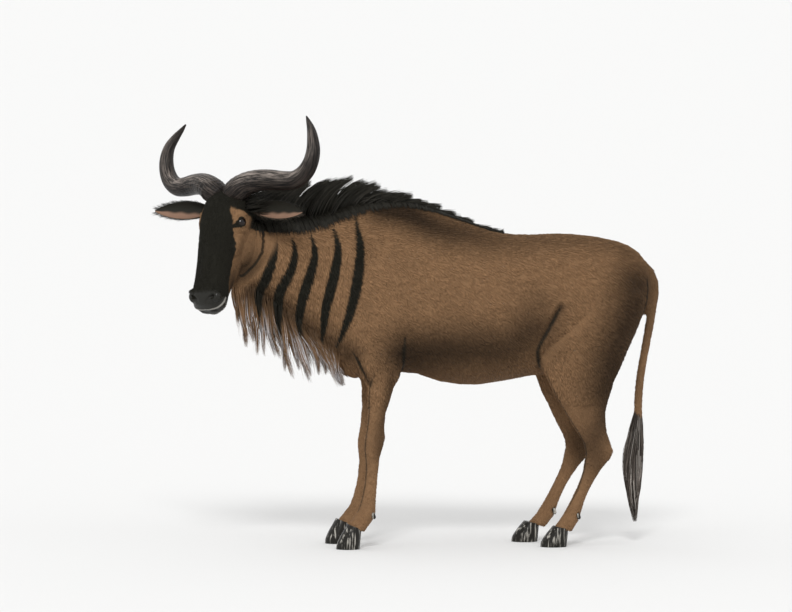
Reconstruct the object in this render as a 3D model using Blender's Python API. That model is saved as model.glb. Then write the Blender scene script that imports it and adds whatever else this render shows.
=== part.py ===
# Blue wildebeest bull, standing with its head turned to its left: a still, life-size model.
# Metres, +Z up, the animal faces -X, its left side is -Y, and it stands on z = 0.

import math
import random

import bmesh
import bpy
import numpy as np
from mathutils import Vector

# The point of the floor under the middle of the whole model, which becomes the origin
ORIGIN = np.array((-0.0659, -0.0449, 0.0))

# Gaps between parts that touch, and the clearance round a part that another is cut to
GAP = 0.0003
SNUG = 0.0004

# Size of the cells that blend the flesh, and how many triangles the flesh keeps
BODY_VOXEL = 0.0075
HEAD_VOXEL = 0.0032
BODY_TRIANGLES = 3400
HEAD_TRIANGLES = 2300
KEEP_FACTOR = 0.7

# Torso and neck, from the rump to the back of the head:
# x, sideways shift, top, widest level, bottom, half width, roundness above and below (1 is an ellipse)
TRUNK = [
    (0.872, 0.000, 1.045, 1.000, 0.930, 0.030, 1.0, 1.0),
    (0.850, 0.000, 1.100, 1.020, 0.890, 0.075, 1.0, 1.0),
    (0.815, 0.000, 1.138, 1.030, 0.820, 0.115, 1.0, 1.0),
    (0.765, 0.000, 1.164, 1.020, 0.760, 0.155, 1.0, 1.0),
    (0.700, 0.000, 1.182, 1.000, 0.710, 0.186, 1.0, 1.0),
    (0.620, 0.000, 1.195, 0.970, 0.680, 0.205, 1.0, 1.0),
    (0.516, 0.000, 1.203, 0.930, 0.662, 0.213, 1.05, 1.0),
    (0.400, 0.000, 1.200, 0.895, 0.652, 0.218, 1.1, 0.95),
    (0.285, 0.000, 1.209, 0.880, 0.632, 0.226, 1.15, 0.92),
    (0.169, 0.000, 1.248, 0.875, 0.620, 0.230, 1.2, 0.92),
    (0.054, 0.000, 1.293, 0.880, 0.634, 0.228, 1.3, 0.95),
    (-0.062, 0.000, 1.330, 0.890, 0.668, 0.215, 1.4, 1.0),
    (-0.177, 0.000, 1.340, 0.895, 0.662, 0.196, 1.45, 1.0),
    (-0.250, 0.000, 1.334, 0.905, 0.650, 0.180, 1.4, 1.0),
    (-0.310, 0.000, 1.318, 0.925, 0.664, 0.162, 1.3, 1.05),
    (-0.360, 0.000, 1.302, 0.950, 0.705, 0.148, 1.25, 1.1),
    (-0.410, -0.004, 1.290, 0.980, 0.757, 0.136, 1.2, 1.15),
    (-0.470, -0.012, 1.279, 1.010, 0.812, 0.124, 1.15, 1.2),
    (-0.540, -0.024, 1.273, 1.050, 0.868, 0.112, 1.1, 1.2),
    (-0.600, -0.036, 1.274, 1.080, 0.920, 0.102, 1.0, 1.2),
    (-0.660, -0.050, 1.276, 1.110, 0.966, 0.092, 1.0, 1.1),
    (-0.700, -0.062, 1.262, 1.110, 0.958, 0.082, 1.0, 1.0),
    (-0.735, -0.073, 1.218, 1.090, 0.968, 0.064, 1.0, 1.0),
    (-0.758, -0.080, 1.185, 1.088, 0.978, 0.050, 1.0, 1.0),
]
# Rounded masses that swell the skin: centre, radii, tilt about the sideways axis in degrees
SHOULDER_BLADE = ((-0.190, 0.104, 1.030), (0.110, 0.058, 0.200), -14)
UPPER_ARM = ((-0.170, 0.142, 0.840), (0.120, 0.052, 0.125), 20)
RIB_CAGE = ((0.090, 0.100, 0.860), (0.300, 0.120, 0.190), 4)
HAUNCH = ((0.655, 0.118, 0.930), (0.150, 0.088, 0.200), 14)
POINT_OF_HIP = ((0.520, 0.132, 1.080), (0.075, 0.040, 0.055), 0)
BRISKET = ((-0.275, 0.000, 0.735), (0.085, 0.085, 0.085), 0)

# How far each pair of feet stands to the side of the middle line
FOOT_SPREAD = 0.130
HIND_SPREAD = 0.122

# Left legs, from the top down: z, front edge, back edge, distance from the middle, half width
FORELEG = [
    (0.940, -0.305, -0.115, 0.100, 0.070),
    (0.860, -0.321, -0.103, 0.112, 0.074),
    (0.800, -0.311, -0.103, 0.122, 0.070),
    (0.745, -0.294, -0.106, 0.128, 0.065),
    (0.691, -0.279, -0.109, 0.130, 0.059),
    (0.656, -0.264, -0.118, 0.130, 0.053),
    (0.633, -0.248, -0.134, 0.130, 0.049),
    (0.606, -0.243, -0.145, 0.130, 0.045),
    (0.579, -0.242, -0.153, 0.130, 0.041),
    (0.522, -0.242, -0.171, 0.130, 0.035),
    (0.468, -0.246, -0.177, 0.130, 0.033),
    (0.429, -0.254, -0.174, 0.130, 0.036),
    (0.402, -0.257, -0.179, 0.130, 0.037),
    (0.368, -0.256, -0.190, 0.130, 0.033),
    (0.333, -0.251, -0.197, 0.130, 0.026),
    (0.279, -0.252, -0.202, 0.130, 0.0225),
    (0.229, -0.259, -0.206, 0.130, 0.0225),
    (0.183, -0.269, -0.210, 0.130, 0.025),
    (0.152, -0.279, -0.210, 0.130, 0.030),
    (0.133, -0.290, -0.211, 0.130, 0.033),
    (0.108, -0.308, -0.224, 0.130, 0.034),
    (0.083, -0.327, -0.243, 0.130, 0.036),
    (0.060, -0.339, -0.257, 0.130, 0.037),
]
HINDLEG = [
    (1.040, 0.586, 0.786, 0.085, 0.080),
    (0.944, 0.511, 0.834, 0.105, 0.098),
    (0.875, 0.474, 0.820, 0.112, 0.098),
    (0.810, 0.436, 0.794, 0.118, 0.092),
    (0.752, 0.416, 0.767, 0.122, 0.082),
    (0.706, 0.421, 0.748, 0.122, 0.073),
    (0.671, 0.439, 0.732, 0.122, 0.065),
    (0.637, 0.458, 0.716, 0.122, 0.058),
    (0.598, 0.476, 0.704, 0.122, 0.052),
    (0.563, 0.497, 0.691, 0.122, 0.048),
    (0.529, 0.517, 0.684, 0.122, 0.044),
    (0.467, 0.553, 0.683, 0.122, 0.038),
    (0.436, 0.574, 0.688, 0.122, 0.036),
    (0.406, 0.592, 0.697, 0.122, 0.036),
    (0.383, 0.600, 0.707, 0.122, 0.036),
    (0.362, 0.603, 0.713, 0.122, 0.035),
    (0.336, 0.601, 0.698, 0.122, 0.033),
    (0.302, 0.595, 0.668, 0.122, 0.028),
    (0.275, 0.588, 0.650, 0.122, 0.0245),
    (0.248, 0.578, 0.634, 0.122, 0.023),
    (0.198, 0.555, 0.609, 0.122, 0.023),
    (0.159, 0.536, 0.594, 0.122, 0.026),
    (0.125, 0.517, 0.584, 0.122, 0.031),
    (0.100, 0.501, 0.576, 0.122, 0.033),
    (0.078, 0.483, 0.562, 0.122, 0.035),
    (0.055, 0.468, 0.548, 0.122, 0.036),
]
# How far each right leg stands ahead of its left fellow, by height
FORE_AHEAD = [(0.0, 0.014), (0.15, 0.0), (0.40, -0.008), (1.2, -0.008)]
HIND_AHEAD = [
    (0.0, 0.078),
    (0.10, 0.060),
    (0.25, 0.052),
    (0.36, 0.042),
    (0.55, 0.020),
    (0.75, 0.0),
    (1.2, 0.0),
]

# Pose of the head: the poll, and how far the face turns left, leans forward and tips sideways
POLL = np.array((-0.762, -0.092, 1.361))
HEAD_TURN = math.radians(47)
FACE_LEAN = math.radians(24)
HEAD_TIP = math.radians(4.3)
HEAD_LENGTH = 0.482

# Head, from the poll to the chin, in its own directions:
# share of the length, face, widest level, throat, half width, roundness of face and throat
HEAD = [
    (0.000, 0.054, 0.004, -0.062, 0.058, 0.85, 0.95),
    (0.045, 0.072, 0.004, -0.094, 0.076, 0.80, 0.95),
    (0.110, 0.084, 0.004, -0.120, 0.086, 0.75, 1.00),
    (0.190, 0.090, 0.004, -0.144, 0.090, 0.70, 1.05),
    (0.270, 0.091, 0.004, -0.156, 0.088, 0.68, 1.10),
    (0.350, 0.089, 0.006, -0.160, 0.083, 0.66, 1.15),
    (0.430, 0.086, 0.010, -0.152, 0.077, 0.64, 1.15),
    (0.510, 0.082, 0.012, -0.138, 0.072, 0.64, 1.15),
    (0.590, 0.078, 0.010, -0.121, 0.068, 0.64, 1.10),
    (0.670, 0.073, 0.010, -0.104, 0.066, 0.64, 1.05),
    (0.750, 0.069, 0.008, -0.088, 0.066, 0.66, 1.00),
    (0.820, 0.067, 0.006, -0.070, 0.068, 0.68, 0.95),
    (0.885, 0.063, 0.003, -0.058, 0.071, 0.72, 0.90),
    (0.935, 0.054, 0.000, -0.049, 0.068, 0.80, 0.90),
    (0.975, 0.038, -0.004, -0.042, 0.056, 0.85, 0.95),
    (1.000, 0.014, -0.009, -0.029, 0.034, 1.00, 1.00),
]

# The eyes, and the rounded masses on the head: sideways, out of the face, down it, and the radii
EYE_PLACE = (0.083, 0.010, 0.121)
EYE_RADIUS = 0.0225
EYE_OPENING = (0.0200, 0.0130)
PAIRED_MASSES = [
    (0.050, -0.090, 0.170, 0.032, 0.064, 0.088),
    (0.070, 0.010, 0.122, 0.032, 0.050, 0.054),
    (0.083, 0.022, 0.100, 0.020, 0.030, 0.025),
    (0.080, 0.002, 0.142, 0.020, 0.033, 0.024),
    (0.064, -0.004, 0.192, 0.026, 0.034, 0.070),
    (0.050, 0.032, 0.426, 0.025, 0.026, 0.032),
    (0.046, -0.008, 0.442, 0.023, 0.022, 0.030),
    (0.078, -0.050, 0.052, 0.026, 0.028, 0.026),
]
MIDDLE_MASSES = [
    (0.000, 0.056, 0.260, 0.032, 0.030, 0.130),
    (0.000, -0.034, 0.452, 0.038, 0.022, 0.028),
]

# Lines pressed into the skin of the head or raised from it, in the same three directions
MOUTH = [
    (0.000, -0.008, 0.490),
    (0.030, -0.012, 0.481),
    (0.056, -0.020, 0.459),
    (0.068, -0.028, 0.428),
    (0.064, -0.034, 0.398),
]
NOSTRIL = [(0.019, 0.054, 0.462), (0.034, 0.053, 0.452), (0.051, 0.043, 0.436), (0.060, 0.028, 0.426)]
# The lids, from the middle of the eye
UPPER_LID = [
    (0.0125, 0.032, 0.016),
    (0.0235, 0.020, -0.008),
    (0.0295, 0.000, -0.019),
    (0.0275, -0.020, -0.014),
    (0.0190, -0.031, -0.001),
]
LOWER_LID = [
    (0.0125, 0.031, 0.019),
    (0.0225, 0.016, 0.024),
    (0.0275, -0.003, 0.024),
    (0.0255, -0.021, 0.015),
    (0.0190, -0.031, 0.003),
]
JAW_EDGE = [(0.052, -0.150, 0.080), (0.064, -0.158, 0.140), (0.058, -0.158, 0.205), (0.048, -0.146, 0.265)]

HORN = [  # sideways, forwards, upwards, radius
    (0.006, 0.034, -0.014, 0.022),
    (0.018, 0.034, -0.006, 0.038),
    (0.050, 0.033, 0.012, 0.051),
    (0.090, 0.022, 0.036, 0.048),
    (0.130, 0.006, 0.046, 0.045),
    (0.180, -0.010, 0.046, 0.0425),
    (0.230, -0.022, 0.040, 0.040),
    (0.277, -0.034, 0.042, 0.0375),
    (0.315, -0.045, 0.066, 0.035),
    (0.338, -0.055, 0.104, 0.0315),
    (0.346, -0.065, 0.148, 0.028),
    (0.339, -0.076, 0.192, 0.023),
    (0.318, -0.096, 0.234, 0.016),
    (0.298, -0.110, 0.262, 0.009),
    (0.285, -0.118, 0.281, 0.003),
]
HORN_GROOVE = 0.003

EAR_LENGTH = 0.250
EAR_WIDTH = 0.035
EAR_ROOT = (0.080, -0.050, 0.050)
EAR_SHAPE = [  # share of the length, share of the width, curl in degrees, thickness
    (0.00, 0.40, 125, 0.0050),
    (0.12, 0.52, 120, 0.0050),
    (0.26, 0.78, 105, 0.0048),
    (0.42, 0.97, 88, 0.0044),
    (0.58, 1.00, 74, 0.0040),
    (0.73, 0.86, 64, 0.0036),
    (0.86, 0.58, 56, 0.0032),
    (0.95, 0.30, 50, 0.0028),
    (1.00, 0.08, 46, 0.0018),
]
# Each ear: its side, where it points and where it opens, from the head's own directions
EARS = {
    "ear_left": (1, (0.90, 0.10, 0.10), (0.15, 1.0, 0.10)),
    "ear_right": (-1, (0.85, 0.44, 0.10), (-0.30, 1.0, 0.15)),
}

CLEFT = 0.006
CLAW = [  # height, how far the toe and the heel stand back from the sole's, width
    (0.000, 0.000, 0.000, 0.0385),
    (0.014, 0.001, 0.002, 0.0400),
    (0.045, 0.013, 0.005, 0.0390),
    (0.080, 0.033, 0.008, 0.0355),
    (0.115, 0.052, 0.012, 0.0320),
]
DEWCLAW = [  # along, sideways half, depth half
    (0.000, 0.0040, 0.0040),
    (0.004, 0.0095, 0.0090),
    (0.014, 0.0120, 0.0110),
    (0.024, 0.0105, 0.0095),
    (0.031, 0.0045, 0.0045),
]

TAIL = [  # x, z, radius
    (0.800, 1.090, 0.030),
    (0.850, 1.066, 0.029),
    (0.878, 1.030, 0.026),
    (0.889, 0.985, 0.023),
    (0.884, 0.930, 0.021),
    (0.874, 0.860, 0.020),
    (0.860, 0.780, 0.019),
    (0.845, 0.700, 0.018),
    (0.833, 0.620, 0.018),
    (0.828, 0.540, 0.017),
    (0.828, 0.480, 0.017),
]
TAIL_JOINT = 0.790
TUFT = [  # x, y, z, radius
    (0.828, 0.0, 0.510, 0.0190),
    (0.824, 0.0, 0.460, 0.0230),
    (0.815, 0.0, 0.400, 0.0300),
    (0.804, 0.0, 0.330, 0.0370),
    (0.800, 0.0, 0.270, 0.0390),
    (0.803, 0.0, 0.210, 0.0330),
    (0.809, 0.0, 0.150, 0.0220),
    (0.815, 0.0, 0.100, 0.0100),
    (0.816, 0.0, 0.081, 0.0030),
]

# Long hair
MANE = [  # x, height of the tips, height of the lowest edge
    (-0.738, 1.352, 1.240),
    (-0.700, 1.366, 1.228),
    (-0.660, 1.374, 1.218),
    (-0.600, 1.374, 1.210),
    (-0.540, 1.374, 1.209),
    (-0.480, 1.374, 1.212),
    (-0.420, 1.380, 1.225),
    (-0.360, 1.396, 1.250),
    (-0.290, 1.408, 1.284),
    (-0.220, 1.400, 1.308),
    (-0.140, 1.378, 1.316),
    (-0.060, 1.356, 1.310),
    (0.040, 1.318, 1.283),
    (0.140, 1.272, 1.246),
    (0.240, 1.232, 1.212),
    (0.310, 1.211, 1.198),
]
BEARD = [  # x, height of the roots, height of the tips, half thickness at the roots and at the tips
    (-0.742, 0.985, 0.880, 0.020, 0.010),
    (-0.724, 0.995, 0.770, 0.040, 0.016),
    (-0.670, 1.005, 0.722, 0.060, 0.022),
    (-0.604, 0.955, 0.672, 0.066, 0.024),
    (-0.545, 0.900, 0.645, 0.068, 0.024),
    (-0.487, 0.855, 0.612, 0.070, 0.024),
    (-0.427, 0.805, 0.600, 0.070, 0.024),
    (-0.370, 0.755, 0.604, 0.066, 0.020),
    (-0.325, 0.715, 0.622, 0.050, 0.010),
]
BEARD_TIPS = [  # x, height of the longest tips
    (-0.745, 0.860),
    (-0.715, 0.732),
    (-0.680, 0.726),
    (-0.632, 0.706),
    (-0.594, 0.656),
    (-0.543, 0.646),
    (-0.478, 0.598),
    (-0.427, 0.594),
    (-0.400, 0.590),
    (-0.350, 0.604),
    (-0.322, 0.612),
]
# Width of a lock of hair at five places from root to tip
LOCK_TAPER = (0.85, 1.0, 0.82, 0.46, 0.05)

# Where the flesh is parted: a point on each cut and the direction it faces
HEAD_CUT = ((-0.650, -0.030, 1.150), (-0.75, -0.36, 0.55))
NECK_CUT = ((-0.322, 0.000, 1.000), (-1.0, 0.0, 0.085))
LEG_TOP = 0.612
KNEE = 0.415
HOCK = 0.372
FORE_CORONET = ((-0.3180, 0.0, 0.0905), (0.353, 0.0, 0.936))
HIND_CORONET = ((0.4840, 0.0, 0.0740), (0.212, 0.0, 0.977))

# Colours as linear light, with the roughness of each surface
LOOKS = {
    "coat": ((0.175, 0.105, 0.053), 0.80),
    "face": ((0.016, 0.015, 0.010), 0.75),
    "horn": ((0.045, 0.038, 0.034), 0.40),
    "ear_skin": ((0.230, 0.130, 0.080), 0.75),
    "eyeball": ((0.006, 0.005, 0.004), 0.08),
    "hoof": ((0.010, 0.009, 0.008), 0.35),
    "mane_hair": ((0.013, 0.012, 0.008), 0.70),
    "beard_hair": ((0.260, 0.200, 0.150), 0.70),
    "tuft_hair": ((0.130, 0.105, 0.085), 0.70),
}

# Head directions: sideways to its left, out of the face, and down the face
FACING = np.array((-math.cos(HEAD_TURN), -math.sin(HEAD_TURN), 0.0))
UP = np.array((0.0, 0.0, 1.0))
LEFT_LEVEL = np.cross(UP, FACING)
FACE_OUT = math.cos(FACE_LEAN) * FACING + math.sin(FACE_LEAN) * UP
FACE_DOWN_LEVEL = math.sin(FACE_LEAN) * FACING - math.cos(FACE_LEAN) * UP
LEFT = math.cos(HEAD_TIP) * LEFT_LEVEL - math.sin(HEAD_TIP) * FACE_DOWN_LEVEL
FACE_DOWN = math.cos(HEAD_TIP) * FACE_DOWN_LEVEL + math.sin(HEAD_TIP) * LEFT_LEVEL
HORN_UP = np.cross(FACING, LEFT)


def smooth_rows(rows, count):
    """The rows of a table read at even steps of a smooth curve through them."""
    table = np.array(rows, float)
    step = np.linalg.norm(np.diff(table[:, :3], axis=0), axis=1)
    key = np.concatenate([[0.0], np.cumsum(step)])
    slope = np.gradient(table, key, axis=0)
    at = np.linspace(0.0, key[-1], count)
    left = np.clip(np.searchsorted(key, at, side="right") - 1, 0, len(key) - 2)
    width = (key[left + 1] - key[left])[:, None]
    t = ((at - key[left]) / width[:, 0])[:, None]
    return (
        (2 * t**3 - 3 * t**2 + 1) * table[left]
        + (t**3 - 2 * t**2 + t) * width * slope[left]
        + (3 * t**2 - 2 * t**3) * table[left + 1]
        + (t**3 - t**2) * width * slope[left + 1]
    )


def mesh_object(name, points, faces):
    mesh = bpy.data.meshes.new(name)
    mesh.from_pydata([tuple(p) for p in points], [], faces)
    mesh.update()
    obj = bpy.data.objects.new(name, mesh)
    bpy.context.scene.collection.objects.link(obj)
    return obj


def face_out(obj):
    bm = bmesh.new()
    bm.from_mesh(obj.data)
    bmesh.ops.recalc_face_normals(bm, faces=bm.faces)
    bm.to_mesh(obj.data)
    bm.free()
    return obj


def loft(name, rings):
    """A closed skin through rings of equal point counts, with a flat cap at each end."""
    count, sides = len(rings), len(rings[0])
    points = np.concatenate(rings)
    faces = []
    for i in range(count - 1):
        for j in range(sides):
            k = (j + 1) % sides
            faces.append((i * sides + j, i * sides + k, (i + 1) * sides + k, (i + 1) * sides + j))
    faces.append(tuple(range(sides)))
    faces.append(tuple(range((count - 1) * sides, count * sides)))
    return face_out(mesh_object(name, points, faces))


def egg(sides, low, middle, high, half_width, round_low, round_high):
    """An outline with its own roundness above and below its widest level: (across, up) pairs."""
    angle = np.linspace(0.0, 2 * math.pi, sides, endpoint=False)
    up, across = np.cos(angle), np.sin(angle)
    top = up >= 0
    reach = np.where(top, high - middle, middle - low)
    power = np.where(top, round_high, round_low)
    width = half_width * np.sign(across) * np.abs(across) ** power
    return width, middle + reach * up


def ellipsoid(name, centre, radii, tilt=0.0, side=1):
    bm = bmesh.new()
    bmesh.ops.create_uvsphere(bm, u_segments=24, v_segments=16, radius=1.0)
    turn = math.radians(tilt)
    for v in bm.verts:
        x, y, z = v.co.x * radii[0], v.co.y * radii[1], v.co.z * radii[2]
        v.co = Vector(
            (
                centre[0] + x * math.cos(turn) + z * math.sin(turn),
                side * centre[1] + y,
                centre[2] - x * math.sin(turn) + z * math.cos(turn),
            )
        )
    mesh = bpy.data.meshes.new(name)
    bm.to_mesh(mesh)
    bm.free()
    obj = bpy.data.objects.new(name, mesh)
    bpy.context.scene.collection.objects.link(obj)
    return obj


def with_modifiers(obj):
    """The object with its modifiers made part of its mesh."""
    graph = bpy.context.evaluated_depsgraph_get()
    mesh = bpy.data.meshes.new_from_object(obj.evaluated_get(graph))
    obj.modifiers.clear()
    obj.data = mesh
    return obj


def remove(objects):
    for obj in objects:
        bpy.data.objects.remove(obj)


def gathered(name, objects):
    """One object that holds the meshes of several, which are removed."""
    bm = bmesh.new()
    for obj in objects:
        bm.from_mesh(obj.data)
    mesh = bpy.data.meshes.new(name)
    bm.to_mesh(mesh)
    bm.free()
    remove(objects)
    whole = bpy.data.objects.new(name, mesh)
    bpy.context.scene.collection.objects.link(whole)
    return whole


def blended(name, objects, voxel):
    """Several closed shapes as one even skin."""
    whole = gathered(name, objects)
    remesh = whole.modifiers.new("one_skin", "REMESH")
    remesh.mode = "VOXEL"
    remesh.voxel_size = voxel
    return with_modifiers(whole)


def places(obj):
    found = np.empty(len(obj.data.vertices) * 3)
    obj.data.vertices.foreach_get("co", found)
    return found.reshape(-1, 3)


def put(obj, points):
    obj.data.vertices.foreach_set("co", points.astype(np.float32).ravel())
    obj.data.update()


def relax(obj, rounds, strength):
    """Evens out creases; strength gives each point a share from 0 to 1. Every second step swells back."""
    points = places(obj)
    ends = np.empty(len(obj.data.edges) * 2, np.int64)
    obj.data.edges.foreach_get("vertices", ends)
    a, b = ends.reshape(-1, 2).T
    count = np.bincount(ends, minlength=len(points))[:, None]
    share = strength(points)[:, None]
    for step in range(2 * rounds):
        total = np.zeros_like(points)
        np.add.at(total, a, points[b])
        np.add.at(total, b, points[a])
        pull = 0.60 if step % 2 == 0 else -0.57
        points = points + pull * share * (total / count - points)
    put(obj, points)


def reduced(obj, triangles, keep=None):
    """Fewer, larger faces, but for the places that keep marks with a share near 1."""
    bm = bmesh.new()
    bm.from_mesh(obj.data)
    bmesh.ops.triangulate(bm, faces=bm.faces)
    bm.to_mesh(obj.data)
    bm.free()
    fewer = obj.modifiers.new("fewer_faces", "DECIMATE")
    fewer.ratio = triangles / len(obj.data.polygons)
    if keep is not None:
        group = obj.vertex_groups.new(name="plain_skin")
        for index, share in enumerate(keep):
            group.add([index], float(1.0 - share), "REPLACE")
        fewer.vertex_group = group.name
        fewer.vertex_group_factor = KEEP_FACTOR
    return with_modifiers(obj)


def half(obj, name, point, normal):
    """What lies behind a plane, closed with a flat face."""
    bm = bmesh.new()
    bm.from_mesh(obj.data)
    everything = bm.verts[:] + bm.edges[:] + bm.faces[:]
    cut = bmesh.ops.bisect_plane(
        bm, geom=everything, dist=1e-7, plane_co=Vector(point), plane_no=Vector(normal), clear_outer=True
    )
    rim = [e for e in cut["geom_cut"] if isinstance(e, bmesh.types.BMEdge)]
    bmesh.ops.holes_fill(bm, edges=rim)
    bmesh.ops.recalc_face_normals(bm, faces=bm.faces)
    mesh = bpy.data.meshes.new(name)
    bm.to_mesh(mesh)
    bm.free()
    piece = bpy.data.objects.new(name, mesh)
    bpy.context.scene.collection.objects.link(piece)
    return piece


def parted(obj, names, point, normal):
    """Two objects from one, a thin plane cut apart: behind the plane and before it."""
    point, normal = np.array(point, float), np.array(normal, float)
    normal /= np.linalg.norm(normal)
    behind = half(obj, names[0], point - normal * GAP / 2, normal)
    before = half(obj, names[1], point + normal * GAP / 2, -normal)
    remove([obj])
    return behind, before


def loose_parts(obj):
    """For each vertex, the number of the closed surface that it belongs to."""
    parent = np.arange(len(obj.data.vertices))
    ends = np.empty(len(obj.data.edges) * 2, np.int64)
    obj.data.edges.foreach_get("vertices", ends)
    a, b = ends.reshape(-1, 2).T
    while True:
        low = np.minimum(parent[a], parent[b])
        before = parent.copy()
        np.minimum.at(parent, a, low)
        np.minimum.at(parent, b, low)
        parent = parent[parent]
        if np.array_equal(parent, before):
            return parent


def only(obj, wanted):
    """Keeps the vertices that wanted marks, with their faces."""
    bm = bmesh.new()
    bm.from_mesh(obj.data)
    bm.verts.ensure_lookup_table()
    gone = [bm.verts[i] for i in np.flatnonzero(~wanted)]
    bmesh.ops.delete(bm, geom=gone, context="VERTS")
    bm.to_mesh(obj.data)
    bm.free()
    return obj


def keep_largest(obj):
    """Drops all but the closed surface that spans the largest box."""
    parts = loose_parts(obj)
    points = places(obj)
    sizes = {p: np.prod(np.ptp(points[parts == p], axis=0)) for p in np.unique(parts)}
    return only(obj, parts == max(sizes, key=sizes.get))


def grown(obj, distance):
    """A copy with every point moved out along its normal."""
    copy = bpy.data.objects.new(obj.name + "_grown", obj.data.copy())
    bpy.context.scene.collection.objects.link(copy)
    normals = np.array([v.normal for v in copy.data.vertices])
    put(copy, places(copy) + normals * distance)
    return copy


def boolean(obj, operation, other, solver="EXACT"):
    step = obj.modifiers.new("join", "BOOLEAN")
    step.operation = operation
    step.solver = solver
    if isinstance(other, bpy.types.Collection):
        step.operand_type = "COLLECTION"
        step.collection = other
    else:
        step.object = other
    return with_modifiers(obj)


def cut_clear(obj, others, solver="EXACT"):
    """Takes away from obj whatever lies inside the others or closer than a thin gap."""
    for other in others:
        cutter = grown(other, SNUG)
        boolean(obj, "DIFFERENCE", cutter, solver)
        remove([cutter])
    return keep_largest(obj)


def fused(name, base, pieces):
    """The base with its pieces joined to it as one closed surface."""
    group = bpy.data.collections.new(name + "_pieces")
    bpy.context.scene.collection.children.link(group)
    for piece in pieces:
        group.objects.link(piece)
        bpy.context.scene.collection.objects.unlink(piece)
    boolean(base, "UNION", group, "MANIFOLD")
    remove(pieces)
    bpy.data.collections.remove(group)
    base.name = name
    return keep_largest(base)


def on_head(left, out, down):
    """World points from head directions, in metres from the poll."""
    left, out, down = (np.asarray(v, float)[..., None] for v in (left, out, down))
    return POLL + left * LEFT + out * FACE_OUT + down * FACE_DOWN


def in_head(points):
    """Head directions of world points: (left, out, down)."""
    away = points - POLL
    return np.stack([away @ LEFT, away @ FACE_OUT, away @ FACE_DOWN], axis=-1)


def trunk():
    rings = []
    for x, y, top, middle, bottom, half_width, above, below in smooth_rows(TRUNK, 64):
        across, up = egg(40, bottom, middle, top, half_width, below, above)
        rings.append(np.stack([np.full(40, x), y + across, up], axis=1))
    return loft("trunk", rings)


def step_ahead(steps, side, z):
    """How far a right leg stands ahead of its left fellow at one height; nothing for a left leg."""
    heights, ahead = np.array(steps).T
    return -np.interp(z, heights, ahead) if side > 0 else 0.0


def leg(name, rows, side, ahead):
    rings = []
    for z, front, back, apart, half_width in smooth_rows(rows, 60):
        shift = step_ahead(ahead, side, z)
        angle = np.linspace(0.0, 2 * math.pi, 24, endpoint=False)
        x = (front + back) / 2 + (back - front) / 2 * np.cos(angle) + shift
        y = side * apart + half_width * np.sign(np.sin(angle)) * np.abs(np.sin(angle)) ** 0.9
        rings.append(np.stack([x, y, np.full(24, z)], axis=1))
    return loft(name, rings)


def head_form(sides=36, rings_wanted=50):
    rings = []
    for row in smooth_rows(HEAD, rings_wanted):
        share, face, middle, throat, half_width, round_face, round_throat = row
        across, out = egg(sides, throat, middle, face, half_width, round_throat, round_face)
        rings.append(on_head(across, out, np.full(sides, share * HEAD_LENGTH)))
    return loft("head_form", rings)


def head_mass(name, left, out, down, radii):
    """A rounded mass on the head: radii sideways, outwards and down the face."""
    bm = bmesh.new()
    bmesh.ops.create_uvsphere(bm, u_segments=24, v_segments=16, radius=1.0)
    ball = np.array([v.co for v in bm.verts]) * radii
    mesh = bpy.data.meshes.new(name)
    bm.to_mesh(mesh)
    bm.free()
    obj = bpy.data.objects.new(name, mesh)
    bpy.context.scene.collection.objects.link(obj)
    put(obj, on_head(ball[:, 0] + left, ball[:, 1] + out, ball[:, 2] + down))
    return obj


def head_masses():
    masses = []
    for side in (-1, 1):
        for left, out, down, *radii in PAIRED_MASSES:
            masses.append(head_mass("paired_mass", side * left, out, down, radii))
    for left, out, down, *radii in MIDDLE_MASSES:
        masses.append(head_mass("middle_mass", left, out, down, radii))
    return masses


def stroke(obj, path, radius, depth):
    """Presses a groove (or raises a ridge, for a negative depth) along a path of world points."""
    points = places(obj)
    normals = np.array([v.normal for v in obj.data.vertices])
    line = smooth_rows(path, 60)
    low, high = line.min(0) - 3 * radius, line.max(0) + 3 * radius
    near = np.flatnonzero(((points > low) & (points < high)).all(axis=1))
    away = np.linalg.norm(points[near, None] - line[None], axis=2).min(axis=1)
    share = np.exp(-((away / radius) ** 2))
    points[near] -= depth * share[:, None] * normals[near]
    put(obj, points)


def head_path(side, rows):
    rows = np.array(rows, float)
    return on_head(side * rows[:, 0], rows[:, 1], rows[:, 2])


def detail(points):
    """How much of the fine form each point of the head must keep, from 0 to 1."""
    local = in_head(points)
    side = np.abs(local[:, 0])
    eye = np.linalg.norm(np.stack([side, local[:, 1], local[:, 2]], axis=1) - EYE_PLACE, axis=1)
    muzzle = local[:, 2] - 0.395
    near_eye = np.clip(1.6 - eye / 0.030, 0.0, 1.0)
    return np.maximum(near_eye, np.clip(muzzle / 0.02, 0.0, 1.0) * 0.8)


def fill_open(obj):
    bm = bmesh.new()
    bm.from_mesh(obj.data)
    bmesh.ops.holes_fill(bm, edges=[e for e in bm.edges if e.is_boundary])
    bmesh.ops.recalc_face_normals(bm, faces=bm.faces)
    bm.to_mesh(obj.data)
    bm.free()
    return obj


def head_flesh():
    whole = blended("head_flesh", [head_form(), trunk()] + head_masses(), HEAD_VOXEL)
    local = in_head(places(whole))
    fill_open(only(whole, (local[:, 1] > -0.34) & (local[:, 2] > -0.2)))
    relax(whole, 7, lambda p: np.ones(len(p)))
    for side in (-1, 1):
        stroke(whole, head_path(side, MOUTH), 0.0045, 0.0065)
        stroke(whole, head_path(side, NOSTRIL), 0.0065, 0.0140)
        stroke(whole, head_path(side, np.add(UPPER_LID, EYE_PLACE)), 0.0050, -0.0040)
        stroke(whole, head_path(side, np.add(LOWER_LID, EYE_PLACE)), 0.0045, -0.0030)
        stroke(whole, head_path(side, JAW_EDGE), 0.0120, 0.0050)
    return reduced(whole, HEAD_TRIANGLES, detail(places(whole)))


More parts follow.
